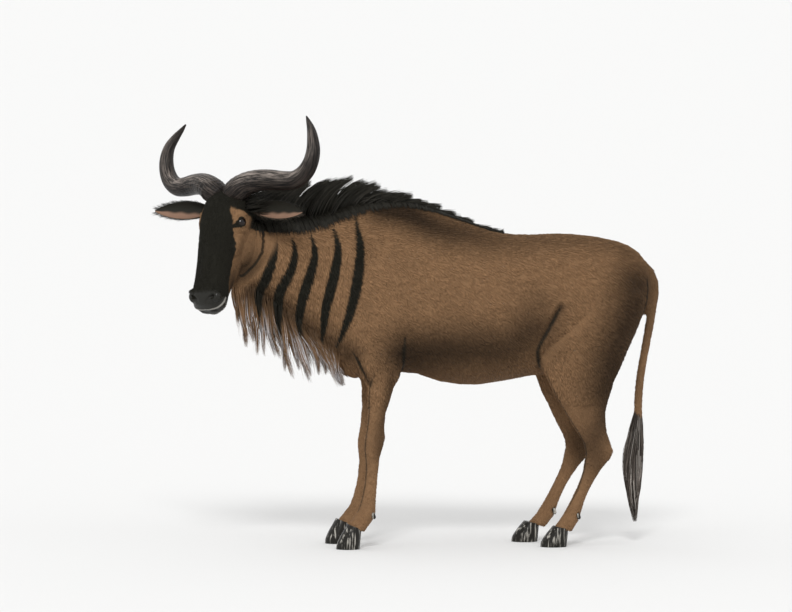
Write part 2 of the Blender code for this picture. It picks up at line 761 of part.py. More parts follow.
def body_flesh():
    masses = []
    for side in (-1, 1):
        for n, (centre, radii, tilt) in enumerate((SHOULDER_BLADE, UPPER_ARM, RIB_CAGE, HAUNCH, POINT_OF_HIP)):
            masses.append(ellipsoid(f"mass_{n}", centre, radii, tilt, side))
        masses.append(leg("foreleg", FORELEG, side, FORE_AHEAD))
        masses.append(leg("hindleg", HINDLEG, side, HIND_AHEAD))
    masses.append(ellipsoid("brisket", *BRISKET))
    whole = blended("body_flesh", [trunk(), head_form()] + masses, BODY_VOXEL)
    relax(whole, 30, lambda p: np.clip((p[:, 2] - 0.45) / 0.45, 0.05, 1.0))
    return reduced(whole, BODY_TRIANGLES)


def split_loose(obj, names_and_tests):
    """Separate closed parts of one mesh as objects, each named by the test that its middle meets."""
    parts = loose_parts(obj)
    points = places(obj)
    found = []
    for name, test in names_and_tests:
        wanted = np.zeros(len(points), bool)
        for part in np.unique(parts):
            mask = parts == part
            low, high = points[mask].min(0), points[mask].max(0)
            if test((low + high) / 2) and np.prod(high - low) > 1e-6:
                wanted |= mask
        piece = bpy.data.objects.new(name, obj.data.copy())
        bpy.context.scene.collection.objects.link(piece)
        found.append(only(piece, wanted))
    remove([obj])
    return found


def claw(name, side, inner, fore):
    """One half of a cloven hoof, flat under its sole and flat towards its fellow."""
    apart = FOOT_SPREAD if fore else HIND_SPREAD
    ahead = step_ahead(FORE_AHEAD if fore else HIND_AHEAD, side, 0.0)
    toe, heel = (-0.3630, -0.2740) if fore else (0.4290, 0.5290)
    cut, facing = FORE_CORONET if fore else HIND_CORONET
    outwards = -1 if inner else 1
    rings = []
    for z, front, back, width in CLAW:
        front = front * (1.0 if fore else 1.45)
        length = heel - toe
        angle = np.linspace(0.0, 2 * math.pi, 12, endpoint=False)
        middle = (toe + front + heel + back) / 2
        reach = (length + back - front) / 2
        x = middle + reach * -np.cos(angle)
        swell = np.sin(angle)
        lean = np.clip((middle - x) / reach, 0.0, 1.0) ** 2
        y = np.where(swell > 0, swell * width * (1 - 0.25 * lean), swell * 0.002)
        y = y + CLEFT / 2
        rings.append(np.stack([x + ahead, side * (apart + outwards * y), np.full(12, z)], axis=1))
    whole = loft("claw_block", rings)
    point = (cut[0] + ahead, 0.0, cut[2])
    facing = np.array(facing) / np.linalg.norm(facing)
    piece = half(whole, name, np.array(point) - facing * GAP / 2, facing)
    remove([whole])
    return piece


def dewclaw(name, side, inner, fore):
    """A small blunt claw behind the fetlock, pointing down and back."""
    apart = FOOT_SPREAD if fore else HIND_SPREAD
    start = np.array((-0.2260, 0.0, 0.1420) if fore else (0.5690, 0.0, 0.1320))
    start[0] += step_ahead(FORE_AHEAD if fore else HIND_AHEAD, side, 0.13)
    start[1] = side * (apart + (-1 if inner else 1) * 0.0165)
    along = Vector((0.45, 0.0, -0.89)).normalized()
    deep = np.array((0.89, 0.0, 0.45))
    angle = np.linspace(0.0, 2 * math.pi, 6, endpoint=False)
    rings = []
    for far, wide, thick in DEWCLAW:
        ring = start + np.array(along) * far + deep * (thick * np.cos(angle))[:, None]
        ring[:, 1] += wide * np.sin(angle)
        rings.append(ring)
    return loft(name, rings)


def tube(name, path, sides, squash=1.0, across=(0.0, 1.0, 0.0)):
    """A round bar along rows of x, y, z, radius."""
    path = np.array(path, float)
    centre, radius = path[:, :3], path[:, 3]
    along = np.gradient(centre, axis=0)
    along /= np.linalg.norm(along, axis=1)[:, None]
    flat = np.array(across) - along * (along @ np.array(across))[:, None]
    flat /= np.linalg.norm(flat, axis=1)[:, None]
    up = np.cross(along, flat)
    angle = np.linspace(0.0, 2 * math.pi, sides, endpoint=False)
    rings = []
    for c, r, a, b in zip(centre, radius, flat, up):
        rings.append(c + r * (np.cos(angle)[:, None] * a + squash * np.sin(angle)[:, None] * b))
    return loft(name, rings)


def horn(name, side):
    rows = smooth_rows(HORN, 21)
    path = []
    for across, forwards, upwards, radius in rows:
        centre = POLL + side * across * LEFT + forwards * FACING + upwards * HORN_UP
        path.append((*centre, radius))
    whole = tube("horn_bar", path, 12, 0.94, FACING)
    piece = half(whole, name, POLL + side * HORN_GROOVE / 2 * LEFT, -side * LEFT)
    remove([whole])
    return piece


def ear(name, side, points_to, opens_to):
    """A cupped leaf: its back is round, and its hollow faces opens_to."""
    to_world = np.array([side * LEFT, FACE_OUT, FACE_DOWN])
    along = np.array(points_to) @ to_world
    along /= np.linalg.norm(along)
    front = np.array(opens_to) @ to_world
    front -= along * (front @ along)
    front /= np.linalg.norm(front)
    across = np.cross(along, front)
    root = on_head(side * EAR_ROOT[0], EAR_ROOT[1], EAR_ROOT[2])
    spread = np.linspace(-1.0, 1.0, 7)
    rings = []
    for share, width, curl, thick in EAR_SHAPE:
        angle = spread * math.radians(curl)
        radius = EAR_WIDTH * width / math.sin(math.radians(min(curl, 90)))
        thin = thick * (1 - 0.45 * spread**2)
        thin = np.minimum(thin, radius * 0.4)
        centre = root + along * share * EAR_LENGTH + front * (0.6 * radius - 0.010 * share**2)
        rows = []
        for r, a in ((np.full(7, radius), angle), ((radius - thin)[::-1], angle[::-1])):
            rows.append(centre + (r * np.sin(a))[:, None] * across - (r * np.cos(a))[:, None] * front)
        rings.append(np.concatenate(rows))
    return loft(name, rings)


def eye_ball(name, side):
    bm = bmesh.new()
    bmesh.ops.create_uvsphere(bm, u_segments=12, v_segments=8, radius=EYE_RADIUS)
    mesh = bpy.data.meshes.new(name)
    bm.to_mesh(mesh)
    bm.free()
    obj = bpy.data.objects.new(name, mesh)
    bpy.context.scene.collection.objects.link(obj)
    put(obj, places(obj) + on_head(side * EYE_PLACE[0], EYE_PLACE[1], EYE_PLACE[2]))
    return obj


def eye_opening(side):
    """The almond gap between the lids, from inside the eyeball out past the lids."""
    angle = np.linspace(0.0, 2 * math.pi, 16, endpoint=False)
    rings = []
    for reach, grow in ((0.003, 1.0), (0.015, 1.08), (0.050, 1.35)):
        long = EYE_OPENING[0] * grow * np.cos(angle)
        high = EYE_OPENING[1] * grow * np.sign(np.sin(angle)) * np.abs(np.sin(angle)) ** 1.25
        out = EYE_PLACE[1] + 0.72 * long + 0.69 * high
        down = EYE_PLACE[2] + 0.69 * long - 0.72 * high
        rings.append(on_head(np.full(16, side * (EYE_PLACE[0] + reach)), out, down))
    return loft("eye_opening", rings)


def trunk_row(x):
    """The trunk's own sizes at one x: shift, top, widest level, bottom, half width, roundness."""
    rows = smooth_rows(TRUNK, 160)[::-1]
    return np.array([np.interp(x, rows[:, 0], rows[:, k]) for k in range(1, 8)])


def skin_place(x, turn, lift):
    """A point over the trunk's upper side: turn is 0 on the crest and 1 at the widest level."""
    shift, top, middle, bottom, half_width, above, below = trunk_row(x)
    angle = turn * math.pi / 2
    swing = abs(math.sin(angle)) ** above * math.copysign(1.0, turn)
    place = np.array((x, shift + half_width * swing, middle + (top - middle) * math.cos(angle)))
    out = np.array((0.0, math.sin(angle) / half_width, math.cos(angle) / (top - middle)))
    return place + lift * out / np.linalg.norm(out)


def lock(path, width, thickness, flat_to, rings=5):
    """A flat, bent lock of hair that tapers to a point; flat_to is the way its broad side faces."""
    start, middle, end = (np.array(p, float) for p in path)
    sections = []
    for k in range(rings):
        t = k / (rings - 1)
        centre = (1 - t) ** 2 * start + 2 * t * (1 - t) * middle + t**2 * end
        along = (1 - t) * (middle - start) + t * (end - middle)
        side = np.cross(along, flat_to)
        side /= np.linalg.norm(side)
        up = np.cross(side, along)
        up /= np.linalg.norm(up)
        size = np.interp(t, (0.0, 0.25, 0.5, 0.75, 1.0), LOCK_TAPER)
        half_width, half_thick = width * size / 2, thickness * size / 2
        corners = [side * half_width, up * half_thick, -side * half_width, -up * half_thick]
        sections.append(centre + np.array(corners))
    return loft("lock", sections)


def mane_core(name):
    """A low ridge under the locks, which holds them together."""
    rings = []
    for x, tip, edge in smooth_rows(MANE, 15):
        shift, top, middle, bottom, half_width, above, below = trunk_row(x)
        low = edge + 0.35 * (top - edge)
        widest = math.acos(np.clip((low - middle) / (top - middle), -1.0, 0.990))
        angle = np.linspace(-widest, widest, 7)
        skin_y = half_width * np.sign(angle) * np.abs(np.sin(angle)) ** above
        skin_z = middle + (top - middle) * np.cos(angle)
        ridge = np.clip(1 - np.abs(skin_y) / 0.050, 0.0, 1.0)
        lift = np.interp(x, (-0.66, -0.50), (1.0, 0.5)) * (tip - top) * ridge + 0.006
        outer = np.stack([np.full(7, x), shift + skin_y, skin_z + lift], axis=1)
        inner = np.stack([np.full(7, x), shift + 0.84 * skin_y, skin_z - 0.022], axis=1)
        rings.append(np.concatenate([outer, inner[::-1]]))
    return loft(name, rings)


def mane_locks():
    """Crest locks that rise and sweep back, and side locks that lie down over the neck."""
    rng = random.Random(11)
    table = smooth_rows(MANE, 120)
    locks = []
    for row, y_step in enumerate((-0.013, 0.013)):
        for k in range(14):
            x = -0.715 + (k + 0.5 * row) * 0.0680
            shift, top = trunk_row(x)[:2]
            lift = np.interp(x, table[:, 0], table[:, 1]) - top
            run = 0.075 + 0.35 * max(lift, 0.0) + rng.uniform(-0.008, 0.010)
            tip_x = min(x + run, 0.318)
            tip_z = np.interp(tip_x, table[:, 0], table[:, 1]) + rng.uniform(-0.006, 0.012)
            y = shift + y_step
            root = (x, y, top - 0.014)
            knee = (x + 0.25 * run, y, top + 0.72 * (tip_z - top))
            tip_y = trunk_row(tip_x)[0] + 1.5 * y_step + rng.uniform(-0.006, 0.006)
            locks.append(lock((root, knee, (tip_x, tip_y, tip_z)), 0.062 + 0.1 * lift, 0.021, (0, 1, 0), 4))
    for side in (-1, 1):
        for k in range(12):
            x = -0.680 + k * 0.0790 + rng.uniform(-0.006, 0.006)
            run = 0.045 + rng.uniform(-0.008, 0.008)
            end = min(x + run, 0.305)
            shift, top, middle = trunk_row(end)[:3]
            edge = np.interp(end, table[:, 0], table[:, 2]) + rng.uniform(-0.010, 0.004)
            turn = side * math.acos(np.clip((edge - middle) / (top - middle), -1.0, 0.992)) / (math.pi / 2)
            path = (
                skin_place(x, 0.10 * turn, 0.002),
                skin_place(x + 0.5 * run, 0.55 * turn, 0.020),
                skin_place(end, turn, 0.004),
            )
            outwards = path[1] - np.array((path[1][0], shift, middle + 0.1))
            locks.append(lock(path, 0.078, 0.017, outwards, 4))
    return locks


def beard_core(name):
    rings = []
    for x, root, tip, wide, narrow in smooth_rows(BEARD, 12):
        shift = trunk_row(x)[0]
        base = beard_base(x)
        low = base + 0.40 * (tip - base)
        share = np.linspace(0.0, 1.0, 3)
        half_width = wide * (0.75 - 0.55 * share)
        height = root + (low - root) * share
        left = np.stack([np.full(3, x), shift - half_width, height], axis=1)
        right = np.stack([np.full(3, x), shift + half_width, height], axis=1)
        rings.append(np.concatenate([left, right[::-1]]))
    return loft(name, rings)


def beard_base(x):
    """The underside of the throat and neck, where the beard comes out."""
    return trunk_row(max(x, -0.736))[3]


def beard_locks():
    rng = random.Random(23)
    table = smooth_rows(BEARD, 120)
    tips = np.array(BEARD_TIPS)
    locks = []
    for row, y_step in enumerate((-0.040, -0.013, 0.013, 0.040)):
        for k in range(9):
            share = (k + (0.5 if row % 2 else 0.0)) / 8.5
            root_x = -0.734 + 0.379 * share
            run = 0.014 + 0.070 * min(1.0, 1.6 * share)
            tip_x = min(root_x + run + rng.uniform(-0.010, 0.010), -0.326)
            tip_z = np.interp(tip_x, tips[:, 0], tips[:, 1]) + rng.uniform(-0.004, 0.030)
            shift = trunk_row(root_x)[0]
            wide = np.interp(root_x, table[:, 0], table[:, 3]) / 0.070
            base = beard_base(root_x) + 0.030 + 6.0 * y_step**2
            root = (root_x, shift + y_step * wide, base)
            bend = base + 0.45 * (tip_z - base)
            knee = (root_x + 0.15 * run, shift + y_step * wide * 1.25, bend)
            tip = (tip_x, shift + 0.55 * y_step * wide + rng.uniform(-0.008, 0.008), tip_z)
            locks.append(lock((root, knee, tip), 0.056, 0.022, (0, 1, 0), 4))
    return locks


def tuft_core(name):
    rows = [row for row in smooth_rows(TUFT, 16) if row[2] > 0.300]
    slim = [(x, y, z, r * np.interp(z, (0.30, 0.42, 0.51), (0.12, 0.72, 1.0))) for x, y, z, r in rows]
    return tube(name, slim, 7)


def tuft_locks():
    rng = random.Random(37)
    table = smooth_rows(TUFT, 120)[::-1]
    locks = []
    for k in range(12):
        angle = k * 2.39996
        high = 0.490 - 0.0092 * k
        low = 0.083 + rng.uniform(0.0, 0.090) * (k > 2)
        swing = np.array((math.cos(angle), math.sin(angle), 0.0))
        places_at = []
        for z, reach in ((high, 0.35), ((high + low) / 2 + 0.01, 1.52), (low, 0.30)):
            x, y, _, r = (np.interp(z, table[:, 2], table[:, c]) for c in range(4))
            places_at.append(np.array((x, y, z)) + reach * r * swing)
        locks.append(lock(places_at, 0.038, 0.014, swing))
    return locks


def paint(obj, slot, colour, roughness):
    material = bpy.data.materials.get(slot)
    if material is None:
        material = bpy.data.materials.new(slot)
        material.use_nodes = True
        shader = material.node_tree.nodes["Principled BSDF"]
        shader.inputs["Base Color"].default_value = (*colour, 1.0)
        shader.inputs["Roughness"].default_value = roughness
        shader.inputs["Metallic"].default_value = 0.0
    obj.data.materials.clear()
    obj.data.materials.append(material)


def model():
    """Every part of the animal as named objects, with the look of each."""
    nodes = {}
    head_all = head_flesh()
    head_point, head_facing = (np.array(v) for v in HEAD_CUT)
    head_facing = head_facing / np.linalg.norm(head_facing)
    head = keep_largest(half(head_all, "head", head_point + head_facing * GAP / 2, -head_facing))
    remove([head_all])
    body = body_flesh()
    behind = half(body, "behind", head_point - head_facing * GAP / 2, head_facing)
    remove([body])
    upper, lower = parted(keep_largest(behind), ("upper", "lower"), (0.0, 0.0, LEG_TOP), (0.0, 0.0, -1.0))
    torso, neck = parted(upper, ("torso", "neck"), *NECK_CUT)
    nodes["head"] = (head, "face")
    nodes["neck"] = (neck, "coat")
    nodes["torso"] = (torso, "coat")
    quarters = (
        ("fore_left", -1, True),
        ("fore_right", 1, True),
        ("hind_left", -1, False),
        ("hind_right", 1, False),
    )
    tests = [
        (name, lambda p, s=side, f=fore: p[1] * s > 0 and (p[0] < 0.2) == f) for name, side, fore in quarters
    ]
    for limb, (name, side, fore) in zip(split_loose(lower, tests), quarters):
        joint = KNEE if fore else HOCK
        lower_half, upper_half = parted(limb, ("shank", "leg"), (0.0, 0.0, joint), (0.0, 0.0, 1.0))
        point, facing = FORE_CORONET if fore else HIND_CORONET
        ahead = step_ahead(FORE_AHEAD if fore else HIND_AHEAD, side, 0.0)
        facing = np.array(facing) / np.linalg.norm(facing)
        point = np.array((point[0] + ahead, 0.0, point[2]))
        shank = half(lower_half, name + "_shank", point + facing * GAP / 2, -facing)
        remove([lower_half])
        shank = keep_largest(shank)
        upper_half.name = name + "_leg"
        small = []
        for inner, word in ((False, "outer"), (True, "inner")):
            nodes[f"{name}_claw_{word}"] = (claw(f"{name}_claw_{word}", side, inner, fore), "hoof")
            spur = dewclaw(f"{name}_dewclaw_{word}", side, inner, fore)
            nodes[f"{name}_dewclaw_{word}"] = (spur, "hoof")
            small.append(spur)
        cut_clear(shank, small)
        nodes[name + "_leg"] = (upper_half, "coat")
        nodes[name + "_shank"] = (shank, "coat")
    horns = [horn("horn_left", 1), horn("horn_right", -1)]
    eyes = [eye_ball("eye_left", 1), eye_ball("eye_right", -1)]
    cut_clear(head, horns)
    for side, ball in ((1, eyes[0]), (-1, eyes[1])):
        opening = eye_opening(side)
        socket = grown(ball, SNUG)
        boolean(socket, "UNION", opening)
        boolean(head, "DIFFERENCE", socket)
        remove([opening, socket])
    keep_largest(head)
    ears = [ear(name, *aim) for name, aim in EARS.items()]
    for one in ears:
        cut_clear(one, [head])
    tail_path = [(x, 0.0, z, r) for x, z, r in TAIL]
    tail = cut_clear(tube("tail", smooth_rows(tail_path, 17), 9), [torso])
    tail_lower, tail_upper = parted(tail, ("tail_lower", "tail_upper"), (0.0, 0.0, TAIL_JOINT), UP)
    tuft = cut_clear(fused("tail_tuft", tuft_core("tuft_core"), tuft_locks()), [tail_lower], "MANIFOLD")
    mane = fused("mane", mane_core("mane_core"), mane_locks())
    cut_clear(mane, [head, neck, torso] + ears + horns, "MANIFOLD")
    beard = fused("beard", beard_core("beard_core"), beard_locks())
    cut_clear(beard, [head, neck, torso], "MANIFOLD")
    for pair, slot in ((horns, "horn"), (eyes, "eyeball"), (ears, "ear_skin")):
        for one in pair:
            nodes[one.name] = (one, slot)
    nodes["tail_upper"] = (tail_upper, "coat")
    nodes["tail_lower"] = (tail_lower, "coat")
    nodes["tail_tuft"] = (tuft, "tuft_hair")
    nodes["mane"] = (mane, "mane_hair")
    nodes["beard"] = (beard, "beard_hair")
    for name, (obj, slot) in nodes.items():
        put(obj, places(obj) - ORIGIN)
        obj.name = name
        obj.data.name = name
        paint(obj, slot, *LOOKS[slot])


remove(list(bpy.data.objects))
model()
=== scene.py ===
import math

import bmesh
import bpy
import numpy as np
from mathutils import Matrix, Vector
from mathutils.bvhtree import BVHTree


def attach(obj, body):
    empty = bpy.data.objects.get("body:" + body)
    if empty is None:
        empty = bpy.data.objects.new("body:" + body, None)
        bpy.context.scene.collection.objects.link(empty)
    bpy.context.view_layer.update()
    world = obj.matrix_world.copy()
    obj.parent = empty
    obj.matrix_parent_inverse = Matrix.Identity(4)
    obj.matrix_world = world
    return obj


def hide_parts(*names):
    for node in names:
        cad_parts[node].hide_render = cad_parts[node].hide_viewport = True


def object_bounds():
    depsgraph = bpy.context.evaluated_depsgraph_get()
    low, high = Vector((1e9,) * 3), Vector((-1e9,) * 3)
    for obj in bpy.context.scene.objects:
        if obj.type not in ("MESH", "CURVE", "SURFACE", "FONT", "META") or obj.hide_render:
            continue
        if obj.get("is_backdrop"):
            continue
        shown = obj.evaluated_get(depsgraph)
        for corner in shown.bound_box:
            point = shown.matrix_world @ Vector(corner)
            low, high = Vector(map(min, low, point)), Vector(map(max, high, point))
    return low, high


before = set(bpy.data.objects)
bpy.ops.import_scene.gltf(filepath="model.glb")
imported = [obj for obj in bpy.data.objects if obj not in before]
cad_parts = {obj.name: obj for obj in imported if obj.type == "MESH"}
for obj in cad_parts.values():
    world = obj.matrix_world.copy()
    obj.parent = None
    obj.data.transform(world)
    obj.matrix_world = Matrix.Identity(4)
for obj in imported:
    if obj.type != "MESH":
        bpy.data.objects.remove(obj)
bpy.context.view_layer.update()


# Skin
# The wildebeest's whole hide from muzzle to coronets and tail: thin skin under a short, flat, dull coat.
# One closed surface over the flesh, sunk under the coat, bare and wet only at the muzzle.
SHIFT = np.array((0.0659, 0.0449, 0.0))
POLL = np.array((-0.762, -0.092, 1.361))
HEAD_TURN = math.radians(47)
FACE_LEAN = math.radians(24)
HEAD_TIP = math.radians(4.3)
HEAD_LENGTH = 0.482
FACING = np.array((-math.cos(HEAD_TURN), -math.sin(HEAD_TURN), 0.0))
UP = np.array((0.0, 0.0, 1.0))
LEFT_LEVEL = np.cross(UP, FACING)
FACE_OUT = math.cos(FACE_LEAN) * FACING + math.sin(FACE_LEAN) * UP
DOWN_LEVEL = math.sin(FACE_LEAN) * FACING - math.cos(FACE_LEAN) * UP
LEFT = math.cos(HEAD_TIP) * LEFT_LEVEL - math.sin(HEAD_TIP) * DOWN_LEVEL
FACE_DOWN = math.cos(HEAD_TIP) * DOWN_LEVEL + math.sin(HEAD_TIP) * LEFT_LEVEL
HEAD_CUT = (np.array((-0.650, -0.030, 1.150)), np.array((-0.75, -0.36, 0.55)) / 0.9973)
SKIN_VOXEL = 0.006
FACE_VOXEL = 0.0024
COAT_DEPTH = 0.004
# share of the length, face, widest level, throat, half width, roundness of face and throat
HEAD = [
    (0.000, 0.054, 0.004, -0.062, 0.058, 0.85, 0.95),
    (0.045, 0.072, 0.004, -0.094, 0.076, 0.80, 0.95),
    (0.110, 0.084, 0.004, -0.120, 0.086, 0.75, 1.00),
    (0.190, 0.090, 0.004, -0.144, 0.090, 0.70, 1.05),
    (0.270, 0.091, 0.004, -0.156, 0.088, 0.68, 1.10),
    (0.350, 0.089, 0.006, -0.160, 0.083, 0.66, 1.15),
    (0.430, 0.086, 0.010, -0.152, 0.077, 0.64, 1.15),
    (0.510, 0.082, 0.012, -0.138, 0.072, 0.64, 1.15),
    (0.590, 0.078, 0.010, -0.121, 0.068, 0.64, 1.10),
    (0.670, 0.073, 0.010, -0.104, 0.066, 0.64, 1.05),
    (0.750, 0.069, 0.008, -0.088, 0.066, 0.66, 1.00),
    (0.820, 0.067, 0.006, -0.070, 0.068, 0.68, 0.95),
    (0.885, 0.063, 0.003, -0.058, 0.071, 0.72, 0.90),
    (0.935, 0.054, 0.000, -0.049, 0.068, 0.80, 0.90),
    (0.975, 0.038, -0.004, -0.042, 0.056, 0.85, 0.95),
    (1.000, 0.014, -0.009, -0.029, 0.034, 1.00, 1.00),
]
# sideways, out of the face, down the face, and the radii of each rounded mass, for both sides
HEAD_MASSES = [
    (0.050, -0.090, 0.170, 0.032, 0.064, 0.088),
    (0.070, 0.010, 0.122, 0.032, 0.050, 0.054),
    (0.083, 0.022, 0.100, 0.020, 0.030, 0.025),
    (0.080, 0.002, 0.142, 0.020, 0.033, 0.024),
    (0.064, -0.004, 0.192, 0.026, 0.034, 0.070),
    (0.050, 0.032, 0.426, 0.025, 0.026, 0.032),
    (0.046, -0.008, 0.442, 0.023, 0.022, 0.030),
    (0.078, -0.050, 0.052, 0.026, 0.028, 0.026),
    (0.000, 0.056, 0.260, 0.032, 0.030, 0.130),
    (0.000, -0.034, 0.452, 0.038, 0.022, 0.028),
]
EYE_PLACE = (0.083, 0.016, 0.127)
EYE_RADIUS = 0.0225
FLESH = ["head", "neck", "torso", "tail_upper", "tail_lower"]
for end in ("fore_left", "fore_right", "hind_left", "hind_right"):
    FLESH += [end + "_leg", end + "_shank"]


def smooth_rows(rows, count):
    """The rows of a table read at even steps of a smooth curve through them."""
    table = np.array(rows, float)
    key = np.concatenate([[0.0], np.cumsum(np.linalg.norm(np.diff(table[:, :3], axis=0), axis=1))])
    slope = np.gradient(table, key, axis=0)
    at = np.linspace(0.0, key[-1], count)
    left = np.clip(np.searchsorted(key, at, side="right") - 1, 0, len(key) - 2)
    width = (key[left + 1] - key[left])[:, None]
    t = ((at - key[left]) / width[:, 0])[:, None]
    return (
        (2 * t**3 - 3 * t**2 + 1) * table[left]
        + (t**3 - 2 * t**2 + t) * width * slope[left]
        + (3 * t**2 - 2 * t**3) * table[left + 1]
        + (t**3 - t**2) * width * slope[left + 1]
    )


def on_head(left, out, down):
    """Points of the scene from metres to the left, out of the face and down it, counted from the poll."""
    left, out, down = (np.asarray(v, float)[..., None] for v in (left, out, down))
    return SHIFT + POLL + left * LEFT + out * FACE_OUT + down * FACE_DOWN


def in_head(points):
    away = points - SHIFT - POLL
    return np.stack([away @ LEFT, away @ FACE_OUT, away @ FACE_DOWN], axis=-1)


def in_scene(name, mesh):
    obj = bpy.data.objects.new(name, mesh)
    bpy.context.scene.collection.objects.link(obj)
    return obj


def mesh_object(name, points, faces):
    """A mesh from an array of points and an array of faces with equal numbers of corners."""
    faces = np.asarray(faces, np.int32)
    count, corners = faces.shape
    mesh = bpy.data.meshes.new(name)
    mesh.vertices.add(len(points))
    mesh.vertices.foreach_set("co", np.asarray(points, np.float32).ravel())
    mesh.loops.add(count * corners)
    mesh.loops.foreach_set("vertex_index", faces.ravel())
    mesh.polygons.add(count)
    mesh.polygons.foreach_set("loop_start", np.arange(count, dtype=np.int32) * corners)
    mesh.polygons.foreach_set("loop_total", np.full(count, corners, np.int32))
    mesh.polygons.foreach_set("use_smooth", np.ones(count, bool))
    mesh.update(calc_edges=True)
    return in_scene(name, mesh)


def loft(name, rings):
    """A closed skin through rings of equal point counts, with a fan at each end."""
    count, sides = len(rings), len(rings[0])
    points = np.concatenate([np.concatenate(rings), [rings[0].mean(axis=0)], [rings[-1].mean(axis=0)]])
    i, j = np.meshgrid(np.arange(count - 1), np.arange(sides), indexing="ij")
    k = (j + 1) % sides
    a, b, c, d = i * sides + j, i * sides + k, (i + 1) * sides + k, (i + 1) * sides + j
    strips = [np.stack([a, b, c], -1).reshape(-1, 3), np.stack([a, c, d], -1).reshape(-1, 3)]
    j = np.arange(sides)
    k = (j + 1) % sides
    last = (count - 1) * sides
    strips.append(np.stack([k, j, np.full(sides, count * sides)], -1))
    strips.append(np.stack([last + j, last + k, np.full(sides, count * sides + 1)], -1))
    return mesh_object(name, points, np.concatenate(strips))


def places(obj):
    found = np.empty(len(obj.data.vertices) * 3, np.float32)
    obj.data.vertices.foreach_get("co", found)
    return found.reshape(-1, 3).astype(float)


def normals(obj):
    found = np.empty(len(obj.data.vertices) * 3, np.float32)
    obj.data.vertices.foreach_get("normal", found)
    return found.reshape(-1, 3).astype(float)


def put(obj, points):
    obj.data.vertices.foreach_set("co", points.astype(np.float32).ravel())
    obj.data.update()


def ball_object(name, segments, rings, radius):
    bm = bmesh.new()
    bmesh.ops.create_uvsphere(bm, u_segments=segments, v_segments=rings, radius=radius)
    mesh = bpy.data.meshes.new(name)
    bm.to_mesh(mesh)
    bm.free()
    return in_scene(name, mesh)


def search_tree(obj):
    """A tree of the object's faces, for the nearest place on it and for rays."""
    mesh = obj.data
    return BVHTree.FromPolygons([v.co[:] for v in mesh.vertices], [p.vertices[:] for p in mesh.polygons])


def one_skin(name, objects, voxel):
    """Several closed shapes as one even skin; the shapes are removed."""
    bm = bmesh.new()
    for obj in objects:
        bm.from_mesh(obj.data)
        bpy.data.objects.remove(obj)
    mesh = bpy.data.meshes.new(name)
    bmesh.ops.recalc_face_normals(bm, faces=bm.faces)
    bm.to_mesh(mesh)
    bm.free()
    whole = in_scene(name, mesh)
    remesh = whole.modifiers.new("one_skin", "REMESH")
    remesh.mode = "VOXEL"
    remesh.voxel_size = voxel
    graph = bpy.context.evaluated_depsgraph_get()
    made = bpy.data.meshes.new_from_object(whole.evaluated_get(graph))
    whole.modifiers.clear()
    whole.data = made
    return whole


SMOOTH_IN, SWELL_BACK = 0.60, -0.57


def relax(obj, rounds, share):
    """Evens out creases; every second step swells back, so that nothing shrinks."""
    points = places(obj)
    ends = np.empty(len(obj.data.edges) * 2, np.int32)
    obj.data.edges.foreach_get("vertices", ends)
    a, b = ends.reshape(-1, 2).T
    count = np.bincount(ends, minlength=len(points))[:, None]
    for step in range(2 * rounds):
        total = np.empty_like(points)
        for c in range(3):
            total[:, c] = np.bincount(a, points[b, c], len(points)) + np.bincount(b, points[a, c], len(points))
        points = points + (SMOOTH_IN if step % 2 == 0 else SWELL_BACK) * share * (total / count - points)
    put(obj, points)


def ease(low, high, value):
    t = np.clip((value - low) / (high - low), 0.0, 1.0)
    return t * t * (3 - 2 * t)


HEAD_SIDES = 48
HEAD_RINGS = 70


def head_form():
    """The head as closed shapes: a loft through its sections and the rounded masses on it."""
    rings = []
    angle = np.linspace(0.0, 2 * math.pi, HEAD_SIDES, endpoint=False)
    rise, across = np.cos(angle), np.sin(angle)
    for share, face, middle, throat, half_width, round_face, round_throat in smooth_rows(HEAD, HEAD_RINGS):
        top = rise >= 0
        power = np.where(top, round_face, round_throat)
        left = half_width * np.sign(across) * np.abs(across) ** power
        out = middle + np.where(top, face - middle, middle - throat) * rise
        rings.append(on_head(left, out, np.full(HEAD_SIDES, share * HEAD_LENGTH)))
    shapes = [loft("head_form", rings)]
    for left, out, down, wide, deep, long in HEAD_MASSES:
        for side in (-1, 1) if left else (1,):
            mass = ball_object("mass", 32, 20, 1.0)
            ball = places(mass) * (wide, deep, long)
            put(mass, on_head(ball[:, 0] + side * left, ball[:, 1] + out, ball[:, 2] + down))
            shapes.append(mass)
    return shapes


def flesh_copy(node, by):
    """A node of the frame as a new object, moved out along its normals."""
    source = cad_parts[node]
    copy = in_scene(node + "_flesh", source.data.copy())
    bm = bmesh.new()
    bm.from_mesh(copy.data)
    bmesh.ops.remove_doubles(bm, verts=bm.verts, dist=1e-5)
    bm.to_mesh(copy.data)
    bm.free()
    put(copy, places(copy) + by * normals(copy))
    return copy


def refined(obj, wanted):
    """Splits each face whose corners are all wanted into four."""
    bm = bmesh.new()
    bm.from_mesh(obj.data)
    bm.verts.ensure_lookup_table()
    chosen = set(np.flatnonzero(wanted).tolist())
    faces = [f for f in bm.faces if all(v.index in chosen for v in f.verts)]
    edges = list({e for f in faces for e in f.edges})
    bmesh.ops.subdivide_edges(bm, edges=edges, cuts=1, use_grid_fill=True)
    bm.to_mesh(obj.data)
    bm.free()
    obj.data.update()


def near_line(points, path, count=40, reach=0.06):
    """Distance of each point from a smooth line, and how far along the line that is, from 0 to 1."""
    line = smooth_rows(path, count)
    found, along = np.full(len(points), 1e9), np.zeros(len(points))
    low, high = line.min(axis=0) - reach, line.max(axis=0) + reach
    near = np.flatnonzero(((points > low) & (points < high)).all(axis=1))
    for start in range(0, len(near), 20000):
        some = near[start : start + 20000]
        away = np.linalg.norm(points[some][:, None] - line[None], axis=2)
        found[some] = away.min(axis=1)
        along[some] = away.argmin(axis=1) / (count - 1)
    return found, along


